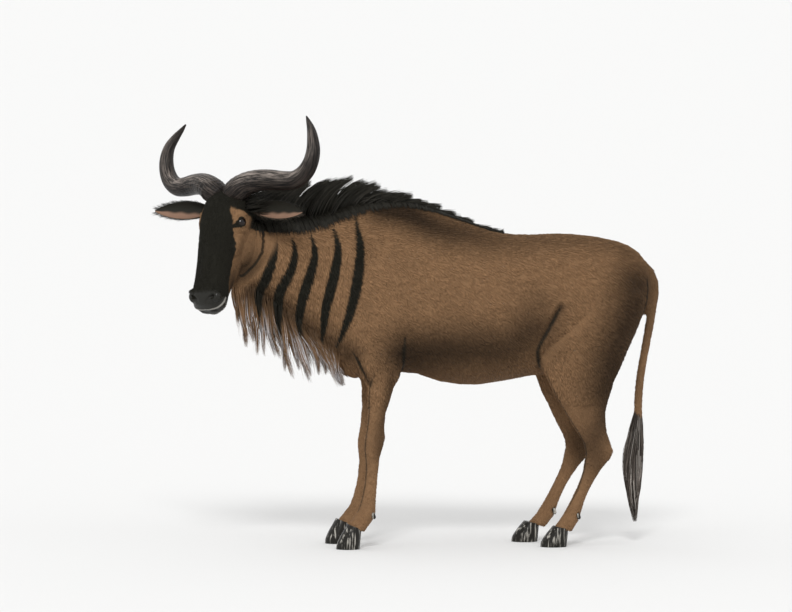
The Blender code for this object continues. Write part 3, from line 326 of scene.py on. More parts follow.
def stroke(obj, path, radius, depth):
    """Presses a groove into the skin along a line, or raises a ridge for a depth below 0."""
    points = places(obj)
    away, along = near_line(points, path)
    fade = np.clip(6 * np.minimum(along, 1 - along) + 0.25, 0.0, 1.0)
    put(obj, points - (depth * fade * np.exp(-((away / radius) ** 2)))[:, None] * normals(obj))


def head_line(side, rows):
    rows = np.array(rows, float)
    return on_head(side * rows[:, 0], rows[:, 1], rows[:, 2])


def side_line(side, rows):
    """A line on the flank from x, half width and z."""
    rows = np.array(rows, float)
    return SHIFT + np.stack([rows[:, 0], side * rows[:, 1], rows[:, 2]], axis=1)


face_target = one_skin("face_target", head_form(), FACE_VOXEL)
relax(face_target, 8, 1.0)
target_tree = search_tree(face_target)
bpy.data.objects.remove(face_target)

copies = [flesh_copy(node, 0.0004 if node == "head" else 0.0008) for node in FLESH]
skin = one_skin("skin", copies + head_form(), SKIN_VOXEL)
high = places(skin)[:, 2]
relax(skin, 10, (0.15 + 0.85 * ease(0.42, 0.75, high))[:, None])
for edge in (0.0, 0.006):
    spots = places(skin)
    local = in_head(spots)
    ahead = (spots - SHIFT - HEAD_CUT[0]) @ HEAD_CUT[1]
    side = np.stack([np.abs(local[:, 0]), local[:, 1], local[:, 2]], axis=1)
    near_eye = np.linalg.norm(side - EYE_PLACE, axis=1) < 0.050
    if edge:
        refined(skin, (ahead > 0.0) & (near_eye | (local[:, 2] > 0.385)))
    else:
        refined(skin, (ahead > -0.02) & (local[:, 2] < 0.52) & (local[:, 1] > -0.24))
spots = places(skin)
local = in_head(spots)
ahead = (spots - SHIFT - HEAD_CUT[0]) @ HEAD_CUT[1]
for index in np.flatnonzero((ahead > 0.0) & (local[:, 1] > -0.22)):
    hit, _, _, distance = target_tree.find_nearest(Vector(spots[index]))
    share = float(ease(0.010, 0.004, np.array(distance)))
    if share > 0:
        spots[index] += share * (np.array(hit) - spots[index])
put(skin, spots)
relax(skin, 2, 0.6)

# Lines on the head, as sideways, out of the face and down it
MOUTH = [
    (0.000, 0.004, 0.490),
    (0.030, 0.000, 0.481),
    (0.056, -0.008, 0.459),
    (0.069, -0.018, 0.426),
    (0.068, -0.027, 0.392),
]
UPPER_LIP = [(0.0, 0.018, 0.489), (0.03, 0.015, 0.483), (0.060, 0.006, 0.459), (0.072, -0.005, 0.428)]
LOWER_LIP = [(0, -0.012, 0.484), (0.03, -0.015, 0.476), (0.054, -0.023, 0.456), (0.066, -0.033, 0.422)]
NOSTRIL = [
    (0.018, 0.052, 0.466),
    (0.031, 0.055, 0.456),
    (0.048, 0.052, 0.440),
    (0.064, 0.040, 0.424),
    (0.071, 0.025, 0.417),
]
NOSTRIL_RIM = [(0.016, 0.064, 0.448), (0.035, 0.067, 0.436), (0.059, 0.056, 0.419), (0.076, 0.036, 0.407)]
PHILTRUM = [(0.0, 0.050, 0.467), (0.0, 0.030, 0.483), (0.0, 0.010, 0.490)]
JAW_EDGE = [(0.052, -0.150, 0.080), (0.064, -0.158, 0.140), (0.058, -0.158, 0.205), (0.048, -0.146, 0.265)]
CHEEK_BACK = [
    (0.075, -0.109, 0.020),
    (0.075, -0.135, 0.108),
    (0.070, -0.157, 0.181),
    (0.060, -0.125, 0.268),
    (0.050, -0.116, 0.341),
]
TEAR_LINE = [(0.088, 0.048, 0.150), (0.083, 0.055, 0.180), (0.078, 0.058, 0.220)]
CHEEK_LINE = [(0.092, -0.030, 0.170), (0.088, -0.018, 0.220), (0.078, -0.014, 0.280), (0.070, -0.014, 0.340)]
unsunk_tree = search_tree(skin)
for row, (away, out, down) in enumerate(CHEEK_BACK):
    found = unsunk_tree.find_nearest(Vector(on_head(away, out, down)))[0]
    CHEEK_BACK[row] = tuple(in_head(np.array(found)))
EYE_CORNER = [(0.088, 0.028, 0.138), (0.088, 0.044, 0.150), (0.084, 0.057, 0.162)]
HEAD_STROKES = (  # line, half its width, how deep it is pressed
    (MOUTH, 0.0034, 0.0090),
    (UPPER_LIP, 0.0070, -0.0028),
    (LOWER_LIP, 0.0070, -0.0034),
    (NOSTRIL, 0.0060, 0.0150),
    (NOSTRIL_RIM, 0.0070, -0.0030),
    (JAW_EDGE, 0.0120, 0.0045),
    (CHEEK_BACK, 0.0060, 0.0060),
    (TEAR_LINE, 0.0040, 0.0022),
    (CHEEK_LINE, 0.0130, 0.0030),
)
for side in (-1, 1):
    for line, radius, depth in HEAD_STROKES:
        stroke(skin, head_line(side, line), radius, depth)
stroke(skin, head_line(1, PHILTRUM), 0.0025, 0.0030)

# Folds of the hide behind the elbow, at the flank, on the breast and beside the tail, and lines down the legs
ELBOW_FOLD = [(-0.108, 0.205, 0.815), (-0.110, 0.200, 0.740), (-0.108, 0.175, 0.690), (-0.107, 0.15, 0.665)]
FLANK_FOLD = [(0.490, 0.215, 0.928), (0.440, 0.215, 0.833), (0.405, 0.205, 0.762), (0.421, 0.180, 0.692)]
BREAST_FOLD = [(-0.300, 0.150, 0.752), (-0.272, 0.150, 0.700), (-0.246, 0.150, 0.645)]
TAIL_FOLD = [(0.846, 0.030, 1.030), (0.850, 0.034, 0.980), (0.842, 0.034, 0.910), (0.828, 0.030, 0.860)]
FORE_SHIN = [
    (-0.215, 0.130, 0.700),
    (-0.238, 0.132, 0.640),
    (-0.243, 0.132, 0.550),
    (-0.250, 0.130, 0.450),
    (-0.256, 0.128, 0.370),
    (-0.252, 0.128, 0.290),
    (-0.262, 0.128, 0.220),
    (-0.300, 0.132, 0.125),
]
HIND_SHIN = [
    (0.440, 0.135, 0.680),
    (0.470, 0.130, 0.610),
    (0.526, 0.122, 0.505),
    (0.578, 0.122, 0.420),
    (0.600, 0.124, 0.355),
    (0.590, 0.126, 0.285),
    (0.556, 0.126, 0.205),
    (0.512, 0.126, 0.125),
]
THIGH_LINE = [(0.700, 0.195, 1.00), (0.690, 0.195, 0.90), (0.670, 0.180, 0.80), (0.660, 0.160, 0.70)]
SIDE_STROKES = (
    (ELBOW_FOLD, 0.0110, 0.0110),
    (FLANK_FOLD, 0.0120, 0.0110),
    (BREAST_FOLD, 0.0100, 0.0080),
    (THIGH_LINE, 0.0300, 0.0060),
)
for side in (-1, 1):
    for line, radius, depth in SIDE_STROKES:
        stroke(skin, side_line(side, line), radius, depth)

# The skin sinks under the coat, least where the hair is shortest
spots, outward = places(skin), normals(skin)
local = in_head(spots)
face_share = ease(-0.02, 0.05, (spots - SHIFT - HEAD_CUT[0]) @ HEAD_CUT[1]) * (local[:, 1] > -0.24)
depth = COAT_DEPTH * (0.45 + 0.55 * ease(0.45, 0.75, spots[:, 2]))
depth = depth * (1 - face_share) + face_share * 0.0018
put(skin, spots - depth[:, None] * outward)

# Round each eye the skin follows the eyeball as two lids, and drops behind it in the gap between them
LID = 0.0026
EYE_LENGTH = 0.0188
EYE_ARCH = 0.0122
EYE_LOOK = np.array((0.862, 0.507, 0.0))
EYE_LONG = np.array((-0.380, 0.647, 0.661))
EYE_HIGH = np.cross(EYE_LONG, EYE_LOOK)


def eye_gap(points, side):
    """How far each point is from the middle of the gap between the lids, where 1 is the lid's edge."""
    local = (in_head(points) - (side * EYE_PLACE[0], EYE_PLACE[1], EYE_PLACE[2])) * (side, 1, 1)
    long, high = local @ EYE_LONG, local @ EYE_HIGH
    arch = EYE_ARCH * np.sqrt(np.clip(1 - (long / EYE_LENGTH) ** 2, 0.0004, 1.0)) ** 1.2
    reach = np.maximum(np.abs(high) / arch, np.abs(long) / EYE_LENGTH)
    away = np.linalg.norm(local, axis=1)
    return reach, away, local @ EYE_LOOK > 0.002, high


spots = places(skin)
for side in (-1, 1):
    centre = on_head(side * EYE_PLACE[0], EYE_PLACE[1], EYE_PLACE[2])
    reach, away, outer, high = eye_gap(spots, side)
    near = outer & (away < 0.050)
    ray = (spots - centre) / np.maximum(away, 1e-6)[:, None]
    lid = EYE_RADIUS + LID + 0.0016 * np.exp(-(((reach - 1.6) / 0.35) ** 2)) * (high > 0)
    hold = near * ease(2.9, 1.5, reach)
    wanted = np.where(reach < 1.0, EYE_RADIUS - 0.0040, lid)
    spots += (hold * (wanted - away))[:, None] * ray
put(skin, spots)

# The painted shade lines in the folds, round the cheeks and down the fronts of the legs, laid on the finished skin
skin_tree = search_tree(skin)


def settled(line, side=0):
    """A line brought on to the skin: sideways from the given side, or else the shortest way."""
    rows = smooth_rows(line, 30)
    for row in rows:
        hit = None
        for inward in (0.004, 0.008, 0.012, 0.016, 0.020, 0.026) if side else ():
            start = Vector((row[0] + inward, SHIFT[1] + side * 0.7, row[2]))
            found = skin_tree.ray_cast(start, Vector((0.0, -side, 0.0)))[0]
            if found and (found.y - SHIFT[1]) * side > 0.015:
                hit = found
                break
        row[:] = hit or skin_tree.find_nearest(Vector(row))[0]
    for _ in range(4 if side else 0):
        rows[1:-1] = 0.5 * rows[1:-1] + 0.25 * (rows[:-2] + rows[2:])
    return np.array([skin_tree.find_nearest(Vector(row))[0] for row in rows])


HIND_STEP = ((0.10, 0.25, 0.36, 0.55, 0.75), (0.060, 0.052, 0.042, 0.020, 0.0))
# Painted shade lines along the folds, the tail's edge, the cheeks' back edges and the fronts of the legs
SHADE_LINES = []  # a line on the skin, half its width, how dark it is
FOLDS = []
for side in (-1, 1):
    for path in (ELBOW_FOLD, FLANK_FOLD, BREAST_FOLD, TAIL_FOLD):
        FOLDS.append(settled(side_line(side, path), side))
        SHADE_LINES.append((FOLDS[-1], 0.0062, 0.90))
    SHADE_LINES.append((settled(side_line(side, FORE_SHIN), side), 0.0050, 0.65))
    shin = side_line(side, HIND_SHIN)
    if side > 0:
        shin[:, 0] -= np.interp(shin[:, 2], *HIND_STEP)
    SHADE_LINES.append((settled(shin, side), 0.0050, 0.65))
    SHADE_LINES.append((settled(head_line(side, CHEEK_BACK)), 0.0050, 0.85))
EYE_CORNERS = [settled(head_line(side, EYE_CORNER)) for side in (-1, 1)]
# The upper lips' lines, where a pale painted highlight goes
LIP_HIGHLIGHT_LINES = [settled(head_line(side, UPPER_LIP)) for side in (-1, 1)]

# Markings, as shares from 0 to 1: the black of face, mane and stripes, the coat's painted shade and shadow, and bare
# skin
STRIPES = [
    [(-0.589, 1.197), (-0.600, 1.140), (-0.631, 1.043), (-0.655, 0.986), (-0.651, 0.885)],
    [(-0.527, 1.188), (-0.520, 1.140), (-0.539, 1.063), (-0.578, 0.986), (-0.581, 0.909), (-0.570, 0.812)],
    [(-0.454, 1.201), (-0.443, 1.140), (-0.466, 1.043), (-0.494, 0.947), (-0.500, 0.870), (-0.492, 0.800)],
    [(-0.366, 1.232), (-0.354, 1.155), (-0.373, 1.043), (-0.402, 0.928), (-0.412, 0.793)],
    [(-0.281, 1.267), (-0.270, 1.159), (-0.285, 1.024), (-0.312, 0.909), (-0.358, 0.774)],
]
# Painted shade and shadow on the coat: soft dark bands below the mane and along the back, the belly, the haunch, the
# lower neck and the legs
SHADOWS = [  # a soft band along x and z, half its width, strength at its start and at its end
    ([(-0.100, 0.747), (0.004, 0.755), (0.160, 0.762), (0.300, 0.774), (0.385, 0.835)], 0.110, 1.00, 0.80),
    (
        [(-0.180, 1.315), (-0.080, 1.285), (0.020, 1.235), (0.150, 1.205), (0.280, 1.190), (0.420, 1.190)],
        0.066,
        1.20,
        0.40,
    ),
    ([(0.270, 1.190), (0.450, 1.190), (0.680, 1.180), (0.810, 1.110)], 0.052, 0.50, 0.45),
    ([(0.800, 1.000), (0.775, 0.900), (0.735, 0.810), (0.706, 0.715), (0.680, 0.600)], 0.112, 0.92, 0.95),
    ([(0.680, 0.600), (0.670, 0.480), (0.630, 0.400), (0.640, 0.330)], 0.070, 0.95, 0.60),
    ([(-0.720, 1.000), (-0.610, 0.950), (-0.490, 0.860), (-0.370, 0.780), (-0.310, 0.745)], 0.054, 0.85, 0.75),
    ([(-0.150, 0.690), (-0.165, 0.560), (-0.190, 0.460), (-0.195, 0.360)], 0.030, 0.70, 0.55),
    ([(0.420, 0.930), (0.370, 0.850), (0.350, 0.770)], 0.085, 0.40, 0.55),
]
# Painted shade on the cheeks: darker low on the cheek and round its back edge
FACE_SHADES = [  # strength, place and spread out of the face, place and spread down it
    (0.95, -0.050, 0.060, 0.360, 0.080),
    (0.35, -0.045, 0.055, 0.230, 0.080),
    (0.90, -0.108, 0.050, 0.265, 0.075),
]
MANE_EDGE = [  # x, height of the lowest black
    (-0.740, 1.240),
    (-0.660, 1.222),
    (-0.600, 1.214),
    (-0.480, 1.216),
    (-0.360, 1.254),
    (-0.290, 1.286),
    (-0.140, 1.318),
    (0.040, 1.286),
    (0.240, 1.214),
    (0.320, 1.199),
]
FACE_RIM = [  # down the face, how far round its side the black reaches
    (0.085, 0.070),
    (0.121, 0.060),
    (0.171, 0.039),
    (0.210, 0.017),
    (0.246, 0.001),
    (0.280, -0.008),
    (0.310, -0.012),
    (0.371, -0.016),
    (0.405, -0.040),
]


def ragged(points, size):
    """A smooth wavering between -1 and 1 that makes the edges of markings uneven."""
    x, y, z = (points / size).T
    wave = np.sin(1.7 * x + 2.3 * np.sin(1.1 * z + y)) + np.sin(2.9 * z + 1.9 * np.sin(1.3 * x - y))
    return 0.5 * wave * np.cos(0.7 * y + 1.3 * x)


def neck_middle(x, bend=-0.025):
    """Where the middle of the neck and back stands sideways at x; the neck turns with the head."""
    return np.interp(x, (-0.75, -0.55, -0.36), (-0.07, bend, 0.0))


def markings_and_shade(points):
    """The shares of black, painted shade, bare skin and grey chin at each point."""
    plan = points - SHIFT
    x, z = plan[:, 0], plan[:, 2]
    local = in_head(points)
    ahead = (plan - HEAD_CUT[0]) @ HEAD_CUT[1]
    on_face = ease(-0.015, 0.015, ahead) * (local[:, 1] > -0.2)
    waver = ragged(points, 0.011)
    black = np.zeros(len(points))
    flat = np.stack([x, np.zeros(len(x)), z], axis=1)
    for line in STRIPES:
        away, along = near_line(flat, [(a, 0.0, b) for a, b in line], 110)
        wide = 0.0205 * np.sin(np.pi * np.clip(0.04 + 0.92 * along, 0.0, 1.0)) ** 0.8
        black = np.maximum(black, ease(1.10, 0.90, (away + 0.0012 * waver) / np.maximum(wide, 1e-4)))
    black *= (1 - on_face) * ease(0.62, 0.72, z)
    edge_x, edge_z = np.array(MANE_EDGE).T
    mane = ease(-0.006, 0.006, z - np.interp(x, edge_x, edge_z) + 0.005 * waver)
    half = np.interp(x, (-0.35, -0.15, 0.05, 0.20, 0.325), (0.30, 0.085, 0.060, 0.035, 0.0))
    mane *= ease(0.006, -0.006, np.abs(plan[:, 1] - neck_middle(x)) - half + 0.004 * waver)
    mane *= (x > -0.76) * ease(0.02, -0.02, local[:, 1] + 0.045)
    black = np.maximum(black, mane)
    down = local[:, 2]
    rim = np.interp(down, *np.array(FACE_RIM).T)
    face = on_face * ease(-0.003, 0.003, local[:, 1] - rim + 0.0035 * waver)
    black = np.maximum(black, face)
    black = np.maximum(black, on_face * ease(0.395, 0.415, down))
    black = np.maximum(black, on_face * ease(0.090, 0.078, down + 0.004 * waver) * (local[:, 1] > -0.13))
    for side in (-1, 1):
        reach, away, _, _ = eye_gap(points, side)
        black = np.maximum(black, on_face * ease(1.75, 1.5, reach) * (away < 0.048))
    shade = np.zeros(len(points))
    for path, wide, first, last in SHADOWS:
        away, along = near_line(flat, [(a, 0.0, b) for a, b in path], reach=2.4 * wide)
        shade = np.maximum(shade, (first + along * (last - first)) * np.exp(-((away / wide) ** 2)))
    shade *= 1 - on_face
    # Painted shade on the face
    for strength, out, out_spread, low, spread in FACE_SHADES:
        patch = np.exp(-(((local[:, 1] - out) / out_spread) ** 2) - ((down - low) / spread) ** 2)
        shade = np.maximum(shade, strength * on_face * patch)
    # Painted shade beside the folds of the hide
    for line in FOLDS:
        away, along = near_line(points, line)
        shade = np.maximum(shade, 0.8 * np.exp(-((away / 0.020) ** 2)))
    # Painted shade lines drawn black along the folds, the cheeks and the leg fronts
    for line, half, dark in SHADE_LINES:
        away, along = near_line(points, line, 110, 0.012)
        half = half * np.clip(5 * np.minimum(along, 1 - along) + 0.3, 0.3, 1.0)
        black = np.maximum(black, dark * ease(1.5, 0.7, away / half))
    for line in EYE_CORNERS:
        away, along = near_line(points, line)
        black = np.maximum(black, on_face * ease(1.15, 0.85, away / (0.0165 - 0.0125 * along)))
    chin = on_face * ease(0.425, 0.445, down) * ease(-0.012, -0.024, local[:, 1])
    bare = on_face * ease(0.415, 0.432, down + 0.05 * (local[:, 1] - 0.02)) * ease(-0.075, -0.045, local[:, 1])
    return black, shade, bare, chin


BROWN = np.array((0.2480, 0.1400, 0.0690))
# The brown that the painted shade darkens the coat towards
PAINTED_SHADE_BROWN = np.array((0.0330, 0.0180, 0.0080))
BLACK = np.array((0.0105, 0.0095, 0.0055))
CHIN_GREY = np.array((0.150, 0.145, 0.130))
# Pale grey of the painted highlight along the lips
LIP_PAINTED_HIGHLIGHT = np.array((0.420, 0.400, 0.360))
# The skin's tint darkened as painted shade under the tufts
SKIN_SHADE_UNDER_COAT = 0.72


def coat_colour(points, lightness):
    black, shade, _, chin = markings_and_shade(points)
    # The painted shade darkens the brown first, then the black markings go over it
    colour = BROWN + np.clip(shade, 0.0, 1.0)[:, None] * (PAINTED_SHADE_BROWN - BROWN)
    colour = colour + black[:, None] * (BLACK - colour)
    colour = colour + 0.8 * chin[:, None] * (CHIN_GREY - colour)
    # Painted highlight: a pale line along each upper lip, wider towards the mouth's corner
    for line in LIP_HIGHLIGHT_LINES:
        away, along = near_line(points, line, 80, 0.012)
        lip_highlight = 0.75 * ease(1.3, 0.5, away / (0.0022 + 0.0036 * along))
        colour = colour + lip_highlight[:, None] * (LIP_PAINTED_HIGHLIGHT - colour)
    return colour * np.asarray(lightness)[..., None]


def give_tint(obj, colour):
    tint = obj.data.attributes.new("tint", "FLOAT_COLOR", "POINT")
    flat = np.concatenate([colour, np.ones((len(colour), 1))], axis=1)
    tint.data.foreach_set("color", flat.astype(np.float32).ravel())


def give_number(obj, name, values):
    obj.data.attributes.new(name, "FLOAT", "POINT").data.foreach_set("value", values.astype(np.float32))


def new_material(name, roughness, specular=0.5):
    """A material with its nodes, its shader and a maker of linked nodes."""
    material = bpy.data.materials.new(name)
    material.use_nodes = True
    nodes, links = material.node_tree.nodes, material.node_tree.links
    shader = nodes["Principled BSDF"]
    shader.inputs["Roughness"].default_value = roughness
    shader.inputs["Specular IOR Level"].default_value = specular
    return material, nodes, links, shader


def attribute(nodes, name):
    node = nodes.new("ShaderNodeAttribute")
    node.attribute_name = name
    return node


def mottle_group():
    """A gentle mottling of a colour, with a height for the bump, used by skin and coat alike."""
    group = bpy.data.node_groups.new("mottle", "ShaderNodeTree")
    group.interface.new_socket("Colour", in_out="INPUT", socket_type="NodeSocketColor")
    group.interface.new_socket("Amount", in_out="INPUT", socket_type="NodeSocketFloat")
    group.interface.new_socket("Colour", in_out="OUTPUT", socket_type="NodeSocketColor")
    group.interface.new_socket("Height", in_out="OUTPUT", socket_type="NodeSocketFloat")
    nodes, links = group.nodes, group.links
    take, give = nodes.new("NodeGroupInput"), nodes.new("NodeGroupOutput")
    place = nodes.new("ShaderNodeTexCoord")
    stretch = nodes.new("ShaderNodeMapping")
    stretch.inputs["Scale"].default_value = (90.0, 260.0, 190.0)
    links.new(place.outputs["Object"], stretch.inputs["Vector"])
    fine = nodes.new("ShaderNodeTexNoise")
    fine.inputs["Detail"].default_value = 4.0
    links.new(stretch.outputs["Vector"], fine.inputs["Vector"])
    broad = nodes.new("ShaderNodeTexNoise")
    broad.inputs["Scale"].default_value = 11.0
    broad.inputs["Detail"].default_value = 5.0
    links.new(place.outputs["Object"], broad.inputs["Vector"])
    both = nodes.new("ShaderNodeMath")
    both.operation = "ADD"
    links.new(fine.outputs["Fac"], both.inputs[0])
    links.new(broad.outputs["Fac"], both.inputs[1])
    centred = nodes.new("ShaderNodeMath")
    centred.operation = "SUBTRACT"
    centred.inputs[1].default_value = 1.0
    links.new(both.outputs["Value"], centred.inputs[0])
    scaled = nodes.new("ShaderNodeMath")
    scaled.operation = "MULTIPLY_ADD"
    scaled.inputs[2].default_value = 1.0
    links.new(centred.outputs["Value"], scaled.inputs[0])
    links.new(take.outputs["Amount"], scaled.inputs[1])
    times = nodes.new("ShaderNodeVectorMath")
    times.operation = "SCALE"
    links.new(take.outputs["Colour"], times.inputs[0])
    links.new(scaled.outputs["Value"], times.inputs["Scale"])
    links.new(times.outputs["Vector"], give.inputs["Colour"])
    links.new(fine.outputs["Fac"], give.inputs["Height"])
    return group


mottle = mottle_group()


def mottled(nodes, links, shader, amount, height):
    """The tint that the mesh carries, mottled, on the shader's colour and bump."""
    effect = nodes.new("ShaderNodeGroup")
    effect.node_tree = mottle
    effect.inputs["Amount"].default_value = amount
    links.new(attribute(nodes, "tint").outputs["Color"], effect.inputs["Colour"])
    links.new(effect.outputs["Colour"], shader.inputs["Base Color"])
    if height:
        bump = nodes.new("ShaderNodeBump")
        bump.inputs["Distance"].default_value = height
        bump.inputs["Strength"].default_value = 0.8
        links.new(effect.outputs["Height"], bump.inputs["Height"])
        links.new(bump.outputs["Normal"], shader.inputs["Normal"])


skin_material, nodes, links, shader = new_material("hide", 0.75, 0.15)
mottled(nodes, links, shader, 0.55, 0.0022)
wet = nodes.new("ShaderNodeMapRange")
wet.inputs["To Min"].default_value = 0.78
wet.inputs["To Max"].default_value = 0.36
links.new(attribute(nodes, "bare").outputs["Fac"], wet.inputs["Value"])
links.new(wet.outputs["Result"], shader.inputs["Roughness"])
shader.inputs["Coat Roughness"].default_value = 0.18
links.new(attribute(nodes, "wet").outputs["Fac"], shader.inputs["Coat Weight"])
skin.data.materials.clear()
skin.data.materials.append(skin_material)
skin.data.polygons.foreach_set("use_smooth", np.ones(len(skin.data.polygons), bool))
spots = places(skin)
black, shade, bare, chin = markings_and_shade(spots)
bare = bare * (1 - chin)
give_tint(skin, coat_colour(spots, SKIN_SHADE_UNDER_COAT))
give_number(skin, "bare", bare)
give_number(skin, "wet", 0.25 * bare)
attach(skin, "root")
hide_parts(*FLESH)

# Eyes
# Wet dark brown eyeballs with a wide dark pupil, one on each side of the head.
# Each is a smooth ball, held in its socket by the lids.
IRIS = (0.008, 0.004, 0.0025)
PUPIL = np.array((0.002, 0.002, 0.003))
EYE_RIM = np.array((0.016, 0.011, 0.008))
for side, word in ((1, "left"), (-1, "right")):
    eye = ball_object("eyeball_" + word, 64, 40, EYE_RADIUS)
    ball = places(eye)
    put(eye, ball + on_head(side * EYE_PLACE[0], EYE_PLACE[1], EYE_PLACE[2]))
    along = ball / EYE_RADIUS
    axes = np.array([side * LEFT, FACE_OUT, FACE_DOWN])
    gaze, high, wide = along @ (EYE_LOOK @ axes), along @ (EYE_HIGH @ axes), along @ (EYE_LONG @ axes)
    pupil = ease(1.1, 0.9, np.sqrt((wide / 0.34) ** 2 + (high / 0.16) ** 2)) * (gaze > 0)
    edge = ease(0.50, 0.30, gaze)
    colour = np.tile(IRIS, (len(ball), 1))
    colour = colour + pupil[:, None] * (PUPIL - colour)
    colour = colour + edge[:, None] * (EYE_RIM - colour)
    give_tint(eye, colour)
    for polygon in eye.data.polygons:
        polygon.use_smooth = True
    if side == 1:
        eye_material, nodes, links, shader = new_material("wet_eye", 0.06, 0.30)
        links.new(attribute(nodes, "tint").outputs["Color"], shader.inputs["Base Color"])
    eye.data.materials.append(eye_material)
    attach(eye, "root")
    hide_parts("eye_" + word)

# Horns
# Two hollow-cored horns of keratin on bony cores, broad and close together over the brow.
# They sweep out and down, then up and in, smooth with fine lengthwise lines and rough at the base, with a painted
# highlight on the side towards the light.
HORN = [  # sideways, forwards, upwards, radius
    (0.006, 0.034, -0.014, 0.022),
    (0.018, 0.034, -0.006, 0.038),
    (0.050, 0.033, 0.012, 0.051),
    (0.090, 0.022, 0.036, 0.048),
    (0.130, 0.006, 0.046, 0.045),
    (0.180, -0.010, 0.046, 0.0425),
    (0.230, -0.022, 0.040, 0.040),
    (0.277, -0.034, 0.042, 0.0375),
    (0.315, -0.045, 0.066, 0.035),
    (0.338, -0.055, 0.104, 0.0315),
    (0.346, -0.065, 0.148, 0.028),
    (0.339, -0.076, 0.192, 0.023),
    (0.318, -0.096, 0.234, 0.016),
    (0.298, -0.110, 0.262, 0.009),
    (0.285, -0.118, 0.281, 0.003),
]
HORN_SIDES = 56
HORN_RINGS = 170
HORN_DARK = np.array((0.0105, 0.0070, 0.0054))
# The pale of the painted highlight on the horns
HORN_HIGHLIGHT_PAINTED = np.array((0.3900, 0.3350, 0.2950))
LIT_FROM = np.array((-0.50, -0.50, 0.71))
horn_up = np.cross(FACING, LEFT)


def set_ramp(node, low, dark, high, light):
    for stop, place, level in zip(node.color_ramp.elements, (low, high), (dark, light)):
        stop.position = place
        stop.color = (*level, 1.0)


horn_material, nodes, links, shader = new_material("horn_keratin", 0.36, 0.14)
grain = attribute(nodes, "grain")
lines = nodes.new("ShaderNodeTexNoise")
lines.inputs["Scale"].default_value = 5.0
lines.inputs["Detail"].default_value = 6.0
lines.inputs["Roughness"].default_value = 0.65
links.new(grain.outputs["Vector"], lines.inputs["Vector"])
streaks = nodes.new("ShaderNodeValToRGB")
set_ramp(streaks, 0.46, (0.12, 0.12, 0.12), 0.59, (1.9, 1.9, 1.9))
links.new(lines.outputs["Fac"], streaks.inputs["Fac"])
mixed = nodes.new("ShaderNodeMix")
mixed.data_type = "RGBA"
mixed.blend_type = "MULTIPLY"
mixed.inputs["Factor"].default_value = 1.0
links.new(attribute(nodes, "tint").outputs["Color"], mixed.inputs["A"])
links.new(streaks.outputs["Color"], mixed.inputs["B"])
links.new(mixed.outputs["Result"], shader.inputs["Base Color"])
bump = nodes.new("ShaderNodeBump")
bump.inputs["Distance"].default_value = 0.0022
bump.inputs["Strength"].default_value = 0.9
links.new(lines.outputs["Fac"], bump.inputs["Height"])
links.new(bump.outputs["Normal"], shader.inputs["Normal"])
for side, word in ((1, "left"), (-1, "right")):
    rows = smooth_rows(HORN, HORN_RINGS)
    centre = SHIFT + POLL + side * rows[:, :1] * LEFT + rows[:, 1:2] * FACING + rows[:, 2:3] * horn_up
    run = np.gradient(centre, axis=0)
    run /= np.linalg.norm(run, axis=1)[:, None]
    flat = FACING - run * (run @ FACING)[:, None]
    flat /= np.linalg.norm(flat, axis=1)[:, None]
    rise = np.cross(run, flat)
    length = np.concatenate([[0.0], np.cumsum(np.linalg.norm(np.diff(centre, axis=0), axis=1))])
    angle = np.linspace(0.0, 2 * math.pi, HORN_SIDES, endpoint=False)
    rings, tints, grains = [], [], []
    for c, r, a, b, s in zip(centre, rows[:, 3], flat, rise, length):
        base = math.exp(-s / 0.09)
        swell = 1 + 0.030 * base * np.sin(s * 330 + 2.2 * np.sin(angle + side)) + 0.006 * np.sin(19 * angle + s * 9)
        radius = (r * 0.992 * swell)[:, None]
        rings.append(c + radius * (np.cos(angle)[:, None] * a + 0.94 * np.sin(angle)[:, None] * b))
        facing_up = np.cos(angle)[:, None] * a + np.sin(angle)[:, None] * b
        # Painted highlight: each ring paler on the side that faces the light, faded out at the base and the tip
        light = 0.36 * np.clip(facing_up @ LIT_FROM, 0, 1) ** 5
        light = light * ease(0.02, 0.12, np.array(s)) * ease(length[-1], length[-1] - 0.16, np.array(s)) + 0.022
        tints.append(HORN_DARK + light[:, None] * (HORN_HIGHLIGHT_PAINTED - HORN_DARK))
        grains.append(np.stack([2.6 * np.cos(angle), 2.6 * np.sin(angle), np.full(HORN_SIDES, s * 3.5 + side)], axis=1))
    horn = loft("horn_" + word + "_keratin", rings)
    off = (places(horn) - SHIFT - POLL) @ (side * LEFT)
    put(horn, places(horn) + np.clip(0.0016 - off, 0.0, None)[:, None] * (side * LEFT))
    ends = [tints[0].mean(axis=0)[None], tints[-1].mean(axis=0)[None]]
    give_tint(horn, np.concatenate(tints + ends))
    spin = horn.data.attributes.new("grain", "FLOAT_VECTOR", "POINT")
    whole = np.concatenate(grains + [grains[0][:1], grains[-1][:1]])
    spin.data.foreach_set("vector", whole.astype(np.float32).ravel())
    horn.data.materials.append(horn_material)
    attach(horn, "root")
    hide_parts("horn_" + word)

# Ears
# Cupped leaves of thin gristle under skin, brown behind, pinkish brown within and black along the rims.
# Each is one closed shell that narrows to a short stalk, set in the side of the head behind the horn.
EAR_LENGTH = 0.250
EAR_WIDTH = 0.035
EAR_ROOT = (0.080, -0.050, 0.050)
EAR_POINTS = 23
EAR_SHAPE = [  # share of the length, share of the width, curl in degrees, thickness
    (0.00, 0.40, 125, 0.0042),
    (0.12, 0.52, 120, 0.0042),
    (0.26, 0.78, 105, 0.0040),
    (0.42, 0.97, 88, 0.0036),
    (0.58, 1.00, 74, 0.0032),
    (0.73, 0.86, 64, 0.0028),
    (0.86, 0.58, 56, 0.0024),
    (0.95, 0.30, 50, 0.0020),
    (1.00, 0.08, 46, 0.0014),
]
EAR_INSIDE = np.array((0.230, 0.135, 0.090))
ear_material, nodes, links, shader = new_material("ear_hide", 0.75, 0.3)
mottled(nodes, links, shader, 0.5, 0.0012)
ear_edges = []
